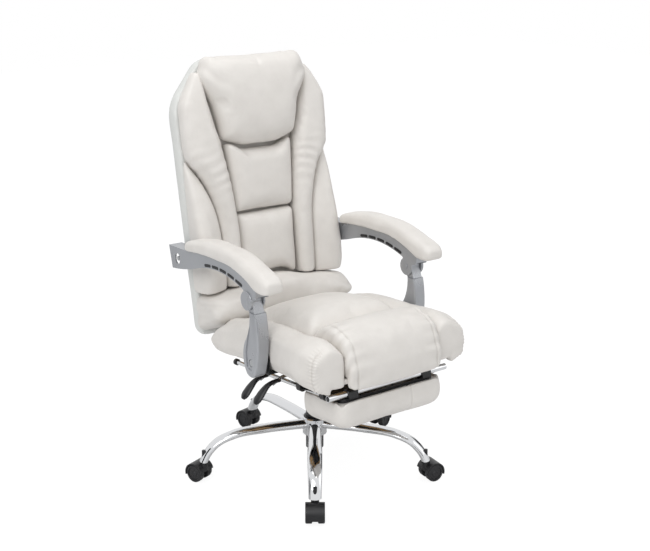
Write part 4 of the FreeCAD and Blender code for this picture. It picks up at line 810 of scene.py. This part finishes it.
@dataclass
class StarBase:
    """Five oval chrome legs on a hub sleeve."""

    first_angle: float = -125.3
    count: int = 5
    end_z: float = 60.0
    width: float = 37.0
    depth: float = 24.0
    crest: float = 133.0
    caster_radius: float = 323.0
    sides: int = 28
    steps: int = 44

    def stations(self) -> Sequence[Sequence[float]]:
        """(r, 0, z, slope, width, depth) from the hub out."""
        rise, wide, deep = self.crest, self.width, self.depth
        return ((26.0, 0, rise - 2.0, 0.0, wide, deep * 1.08), (150.0, 0, rise, -1.0, wide * 1.04, deep * 0.98),
                (238.0, 0, rise - 6.0, -15.0, wide * 1.08, deep * 0.88),
                (284.0, 0, rise - 23.0, -38.0, wide * 1.02, deep * 0.88),
                (310.0, 0, rise - 48.0, -54.0, wide * 0.95, deep * 0.88),
                (328.0, 0, self.end_z - 10.0, -66.0, wide * 0.92, deep * 0.88))

    def leg(self) -> bmesh.types.BMesh:
        """One leg along +X, bridged through ellipses and cut level at its end."""
        shape, _ = lofted(self.stations(), self.steps, self.sides)
        cut = bmesh.ops.bisect_plane(shape, geom=shape.verts[:] + shape.edges[:] + shape.faces[:],
                                     plane_co=(0, 0, mm(self.end_z)), plane_no=(0, 0, -1), clear_outer=True)
        rim = [e for e in cut["geom_cut"] if isinstance(e, bmesh.types.BMEdge)]
        bmesh.ops.holes_fill(shape, edges=rim, sides=0)
        return shape

    def build(self) -> None:
        """Legs, hub sleeve and the black collar at the hub's top."""
        hub = spun(((25.2, 99), (31, 99), (34, 101.5), (34, 148.5), (31.5, 151), (25.2, 151)), 64, "base_hub")
        fitted(hub, Skin.CHROME, "base", "star_base")
        for k in range(self.count):
            shape = self.leg()
            turned(shape, self.first_angle + k * 360.0 / self.count)
            leg = new_piece("base_leg_%d" % (k + 1), shape, 50.0)
            fitted(leg, Skin.CHROME, "base")
        profile = ((25.1, 151.2), (31.5, 151.2), (31.0, 153.2), (28.0, 155.0), (25.1, 155.4))
        fitted(spun(profile, 48, "base_collar"), Skin.BLACK, "base")
        LOG.info("star base with %d legs", self.count)


@dataclass
class Casters:
    """Twin-wheel casters: hood from the CAD solid, wheels turned with a ribbed face."""

    headings: Tuple[float, ...] = (-125.3, -7.3, 20.0, 102.7, 109.7)
    first_angle: float = -125.3
    spread: float = 323.0
    wheel_radius: float = 25.0
    width: float = 18.0
    overall: float = 51.0
    trail: float = 18.0

    def wheel(self, name: str, side: int, index: int) -> bpy.types.Object:
        """One wheel with its rounded tread, dished face and hub boss."""
        r, w = self.wheel_radius, self.width
        profile = ((3.2, 1.5), (8.0, 0.6), (9.0, 2.0), (18.5, 2.6), (19.5, 0.3), (22.0, 0.0), (24.3, 0.8),
                   (r, 3.0), (r, w - 2.5), (r - 0.8, w - 0.8), (r - 2.5, w), (3.2, w))
        obj = spun(profile, 48, name, 40.0)
        place = (self.place(index)
                 @ Matrix.Translation((mm(self.trail), side * mm(self.overall / 2), mm(r)))
                 @ Matrix.Rotation(math.radians(90 if side > 0 else -90), 4, "X"))
        obj.data.transform(place)
        return obj

    def place(self, index: int) -> Matrix:
        """The turn and place of one caster."""
        angle = math.radians(self.first_angle + index * 72.0)
        spot = (mm(self.spread * math.cos(angle)), mm(self.spread * math.sin(angle)), 0.0)
        return Matrix.Translation(spot) @ Matrix.Rotation(math.radians(self.headings[index]), 4, "Z")

    def build(self) -> None:
        """Five casters."""
        for k in range(5):
            name = "caster_%d" % (k + 1)
            hood = new_piece(name + "_hood", merged_copy(name), 35.0)
            bevelled(hood, 0.6, 50.0)
            fitted(hood, Skin.BLACK, name, name)
            for side, word in ((1, "outer"), (-1, "inner")):
                node = "%s_wheel_%s" % (name, word)
                fitted(self.wheel(node + "_turned", side, k), Skin.TREAD, node, node)
        LOG.info("casters")


@dataclass
class PlainNodes:
    """CAD nodes that are shown as smooth merged copies with their finish."""

    skins: Dict[str, Tuple[Skin, float]] = field(default_factory=lambda: {
        "gas_column_tube": (Skin.POWDER, 0.6), "column_guide_bush": (Skin.BLACK, 0.4),
        "gas_piston_rod": (Skin.ZINC, 0.0), "gas_cylinder": (Skin.CHROME, 0.0),
        "seat_mechanism": (Skin.POWDER, 0.8), "seat_board": (Skin.VENEER, 0.8),
        "footrest_guides": (Skin.POWDER, 0.6), "seat_hinge_brackets": (Skin.POWDER, 0.4),
        "post_pivot_plates": (Skin.POWDER, 0.4), "pivot_bolts": (Skin.ZINC, 0.4),
        "lever_height_rod": (Skin.ZINC, 0.0), "lever_recline_rod": (Skin.ZINC, 0.0),
        "footrest_slide_frame": (Skin.CHROME, 0.0), "footrest_frame_caps": (Skin.BLACK, 0.3),
        "footrest_board": (Skin.BLACK, 1.0), "footrest_hinge_clips": (Skin.POWDER, 0.4),
        "back_board": (Skin.VENEER, 0.8), "back_hinge_leaves": (Skin.POWDER, 0.4),
        "back_arm_brackets": (Skin.POWDER, 0.3), "arm_rear_bolts": (Skin.ZINC, 0.3),
        "arm_post_left": (Skin.GREY, 0.8), "arm_post_right": (Skin.GREY, 0.8),
        "arm_frame_left": (Skin.GREY, 1.0), "arm_frame_right": (Skin.GREY, 1.0),
        "hub_cap_left": (Skin.GREY, 0.4), "hub_cap_right": (Skin.GREY, 0.4)})

    def build(self) -> None:
        """Copy, smooth and dress each node."""
        owner = {n: b for b, ns in frame["record"]["behaviour"]["bodies"].items() for n in ns}
        for node, (skin, edge) in self.skins.items():
            shape = merged_copy(node)
            bmesh.ops.dissolve_limit(shape, angle_limit=math.radians(0.6), verts=shape.verts, edges=shape.edges)
            if node == "footrest_board":
                places = board_form(np.array([v.co[:] for v in shape.verts]))
                for vert, place in zip(shape.verts, places):
                    vert.co = place
            obj = new_piece(node + "_finished", shape, 32.0)
            if edge > 0.0:
                bevelled(obj, edge, 40.0)
            fitted(obj, skin, owner[node], node)
        LOG.info("%d plain nodes", len(self.skins))


@dataclass
class Paddles:
    """Two hand levers' grips: a neck off the rod, then a spoon that droops."""

    levers: Tuple[str, str] = ("height", "recline")
    sides: int = 20
    steps: int = 26

    def stations(self) -> Sequence[Sequence[float]]:
        """(x, 0, z, slope, width, thickness) from the rod's end outward."""
        return ((0.0, 0, 0.0, 4.0, 12.0, 11.0), (-24.0, 0, -1.5, 10.0, 13.0, 11.0),
                (-39.0, 0, -7.0, 34.0, 18.0, 11.5), (-52.0, 0, -18.0, 46.0, 25.0, 12.5),
                (-64.0, 0, -31.0, 50.0, 29.0, 13.0),
                (-74.0, 0, -43.0, 52.0, 26.0, 11.0), (-79.0, 0, -49.5, 54.0, 13.0, 6.0))

    def build(self) -> None:
        """Both grips, each from its own rod's end."""
        for lever in self.levers:
            node = "lever_%s_paddle" % lever
            co = np.array([v.co[:] for v in frame["nodes"][node].data.vertices])
            root = co[co[:, 0] > co[:, 0].max() - mm(4.0)]
            shape, loops = lofted(self.stations(), self.steps, self.sides)
            for loop in (loops[0], loops[-1]):
                bmesh.ops.holes_fill(shape, edges=loop, sides=0)
            start = (co[:, 0].max(), root[:, 1].mean(), (root[:, 2].max() + root[:, 2].min()) / 2.0)
            bmesh.ops.translate(shape, vec=start, verts=shape.verts)
            obj = new_piece("lever_%s_grip" % lever, shape, 50.0)
            bevelled(obj, 1.2, 50.0)
            fitted(obj, Skin.BLACK, "lever_" + lever, node)


@dataclass
class Wraps:
    """Leatherette pulled tight over the plywood boards, as far as it shows between the cushions."""

    thickness_mm: float = 0.3

    def back(self) -> None:
        """The back board, wrapped all over."""
        shape = merged_copy("back_board")
        shape.normal_update()
        for vert in shape.verts:
            vert.co += vert.normal * mm(self.thickness_mm)
        fitted(new_piece("back_board_wrap", shape, 30.0), Skin.WHITE, "back")

    def seat(self) -> None:
        """The seat board, wrapped on top and round its edge, with its plywood left bare below."""
        shape = merged_copy("seat_board")
        p = SEAT.local(np.array([v.co[:] for v in shape.verts]))
        middle = (p.max(axis=0) + p.min(axis=0)) / 2.0
        half = (p.max(axis=0) - p.min(axis=0)) / 2.0
        grown = middle + (p - middle) * (half + self.thickness_mm) / half
        grown[:, 2] = p[:, 2] + self.thickness_mm
        for vert, place in zip(shape.verts, SEAT.world(grown)):
            vert.co = place
        fitted(new_piece("seat_board_wrap", shape, 30.0), Skin.WHITE, "seat")

    def build(self) -> None:
        """Both wraps."""
        self.back()
        self.seat()


@dataclass
class SlotBand:
    """The band of slots along each arm's lower edge, on its outer and inner wall; a black plate is the painted shade
    inside each slot.
    """

    centre: Tuple[float, float] = (33.938, 261.188)
    edge_radius: float = 356.864
    above_edge: float = 7.2
    first_y: float = 91.0
    pitch: float = 39.0
    count: int = 5
    length: float = 33.0
    height: float = 8.4
    walls: Tuple[float, float] = (241.0, 281.0)

    def plate(self, y: float, length: float, height: float, low: float, high: float) -> bmesh.types.BMesh:
        """A pill-ended plate bent along the arm's lower edge, between two places across the arm."""
        centre_y, centre_z = self.centre
        ring = self.edge_radius + self.above_edge
        middle = (y - centre_y) / ring
        end = height / 2.0
        run = length / 2.0 - end
        steps = max(2, int(length / 8.0))
        outline = []
        for way in (1.0, -1.0):
            outline += [(way * (run - 2.0 * run * k / steps), way * end) for k in range(steps + 1)]
            for turn in range(30, 180, 30):
                t = math.radians(turn)
                outline.append((-way * (run + end * math.sin(t)), way * end * math.cos(t)))
        shape = bmesh.new()
        verts = []
        for u, v in outline:
            angle = middle + u / ring
            reach = ring + v
            verts.append(shape.verts.new((mm(low), mm(centre_y + reach * math.sin(angle)),
                                          mm(centre_z + reach * math.cos(angle)))))
        face = shape.faces.new(verts)
        grown = bmesh.ops.extrude_face_region(shape, geom=[face])["geom"]
        tips = [v for v in grown if isinstance(v, bmesh.types.BMVert)]
        bmesh.ops.translate(shape, vec=(mm(high - low), 0, 0), verts=tips)
        return shape

    def build(self) -> None:
        """A silver band with five black plates of painted slot shade on each wall of each arm."""
        for hand, side in (("left", -1.0), ("right", 1.0)):
            for wall, out in (("inner", -1.0), ("outer", 1.0)):
                face = self.walls[0] if wall == "inner" else self.walls[1]
                middle = self.first_y - 1.5 * self.pitch + 4.0
                band = self.plate(middle, self.count * self.pitch + 8.0, self.height + 5.0,
                                  side * (face + 0.05 * out), side * (face + 0.45 * out))
                fitted(new_piece("slot_band_%s_%s" % (hand, wall), band, 35.0), Skin.GREY, "arm_" + hand)
                # Painted shade: a black plate stands on the wall where each slot's shaded opening is.
                for k in range(self.count):
                    slot = self.plate(self.first_y - k * self.pitch, self.length, self.height,
                                      side * (face + 0.1 * out), side * (face + 0.8 * out))
                    obj = new_piece("slot_%s_%s_%d" % (hand, wall, k + 1), slot, 35.0)
                    fitted(obj, Skin.BLACK, "arm_" + hand)


# Studio

@dataclass
class Studio:
    """The photograph's camera, a pale floor and soft light."""

    azimuth: float = -35.35
    distance: float = 3080.0
    height: float = 1506.0
    focal_px: float = 1179.13
    aim: Tuple[float, float] = (29.2, 565.7)

    def camera(self) -> None:
        """Place the camera where the photograph was taken from."""
        a = math.radians(self.azimuth)
        data = bpy.data.cameras.new("photo camera")
        data.sensor_width = 36.0
        data.sensor_fit = "HORIZONTAL"
        data.lens = self.focal_px / IMAGE_WIDTH * 36.0
        data.clip_end = 50.0
        obj = bpy.data.objects.new("photo camera", data)
        bpy.context.scene.collection.objects.link(obj)
        place = Vector((math.sin(a) * self.distance, -math.cos(a) * self.distance, self.height)) * 0.001
        target = Vector((math.cos(a) * self.aim[0], math.sin(a) * self.aim[0], self.aim[1])) * 0.001
        obj.location = place
        obj.rotation_euler = (target - place).to_track_quat("-Z", "Y").to_euler()
        bpy.context.scene.camera = obj

    def lamp(self, name: str, place: Point, size: float, power: float, aim: Point = (0.0, 0.0, 0.6)) -> None:
        """One soft area lamp that faces aim."""
        data = bpy.data.lights.new(name, "AREA")
        data.shape = "SQUARE"
        data.size = size
        data.energy = power
        obj = bpy.data.objects.new(name, data)
        obj.location = place
        obj.rotation_euler = (Vector(aim) - Vector(place)).to_track_quat("-Z", "Y").to_euler()
        bpy.context.scene.collection.objects.link(obj)

    def sheet(self, name: str, paint: str, colour: str, matrix: Matrix) -> bpy.types.Object:
        """A matt sheet, one metre square before its matrix."""
        shape = bmesh.new()
        bmesh.ops.create_grid(shape, x_segments=1, y_segments=1, size=0.5, matrix=matrix)
        obj = new_piece(name, shape)
        material = bpy.data.materials.new(paint)
        material.use_nodes = True
        shader = material.node_tree.nodes["Principled BSDF"]
        shader.inputs["Base Color"].default_value = linear(colour)
        shader.inputs["Roughness"].default_value = 0.9
        shader.inputs["Specular IOR Level"].default_value = 0.1
        obj.data.materials.append(material)
        return obj

    def floor(self) -> None:
        """A white floor that keeps a faint shadow."""
        matrix = Matrix.Translation((0, 0, -0.0005)) @ Matrix.Scale(18.0, 4)
        obj = self.sheet("floor", "white paper floor", "F4F4F4", matrix)
        tree = obj.data.materials[0].node_tree
        shader = tree.nodes["Principled BSDF"]
        rays = add_node(tree, "LightPath")
        glow = add_node(tree, "Emission", {"Color": (1, 1, 1, 1), "Strength": 1.14})
        share = add_node(tree, "Math", {"operation": "MULTIPLY", 1: 0.80}, {0: rays.outputs["Is Camera Ray"]})
        mix = add_node(tree, "MixShader", links={0: share.outputs[0], 1: shader.outputs[0], 2: glow.outputs[0]})
        tree.links.new(mix.outputs[0], tree.nodes["Material Output"].inputs["Surface"])

    def card(self, name: str, place: Point, size: Tuple[float, float], colour: str, aim: Point) -> None:
        """A card that chrome can mirror, out of the camera's sight."""
        turn = (Vector(aim) - Vector(place)).to_track_quat("-Z", "Y").to_matrix().to_4x4()
        matrix = Matrix.Translation(place) @ turn @ Matrix.Diagonal((size[0], size[1], 1.0, 1.0))
        obj = self.sheet(name, name + " paint", colour, matrix)
        obj.visible_camera = False
        obj.visible_shadow = False
        obj.visible_diffuse = False

    def world(self) -> None:
        """White surroundings for the camera and for gloss, plain grey-white light for the rest."""
        world = bpy.data.worlds.new("white studio")
        world.use_nodes = True
        tree = world.node_tree
        output = tree.nodes["World Output"]
        plain = tree.nodes["Background"]
        plain.inputs["Color"].default_value = linear("F6F7F8")
        plain.inputs["Strength"].default_value = 0.58
        shown = add_node(tree, "Background", {"Color": (1, 1, 1, 1), "Strength": 1.0})
        rays = add_node(tree, "LightPath")
        seen = add_node(tree, "Math", {"operation": "MAXIMUM"},
                        {0: rays.outputs["Is Camera Ray"], 1: rays.outputs["Is Glossy Ray"]})
        any_seen = add_node(tree, "Math", {"operation": "MAXIMUM"},
                            {0: seen.outputs[0], 1: rays.outputs["Is Transmission Ray"]})
        mix = add_node(tree, "MixShader",
                       links={0: any_seen.outputs[0], 1: plain.outputs[0], 2: shown.outputs[0]})
        tree.links.new(mix.outputs[0], output.inputs["Surface"])
        bpy.context.scene.world = world

    def build(self) -> None:
        """Camera, floor, lamps and surroundings."""
        bpy.context.scene.view_settings.view_transform = "Standard"
        self.camera()
        self.floor()
        self.world()
        self.lamp("key softbox", (-2.8, -1.7, 3.1), 2.2, 58.0)
        self.lamp("fill softbox", (2.8, -2.4, 2.2), 2.6, 12.0)
        self.lamp("top softbox", (0.1, -0.2, 3.6), 2.4, 34.0)
        self.card("dark card left", (-3.2, 1.2, 0.9), (1.6, 2.2), "1A1A1C", (0.0, 0.0, 0.2))
        self.card("dark card right", (3.0, 0.4, 0.7), (1.4, 1.6), "202022", (0.0, 0.0, 0.2))
        self.card("dark card front", (-1.2, -3.4, 0.35), (2.6, 0.55), "18181A", (0.0, 0.0, 0.1))
        LOG.info("studio")


def main() -> None:
    """Build the chair's pieces in order."""
    logging.basicConfig(level=logging.INFO, format="%(message)s")
    Studio().build()
    StarBase().build()
    Casters().build()
    PlainNodes().build()
    Paddles().build()
    Wraps().build()
    SlotBand().build()
    Upholstery().build()


if __name__ == "__main__":
    main()
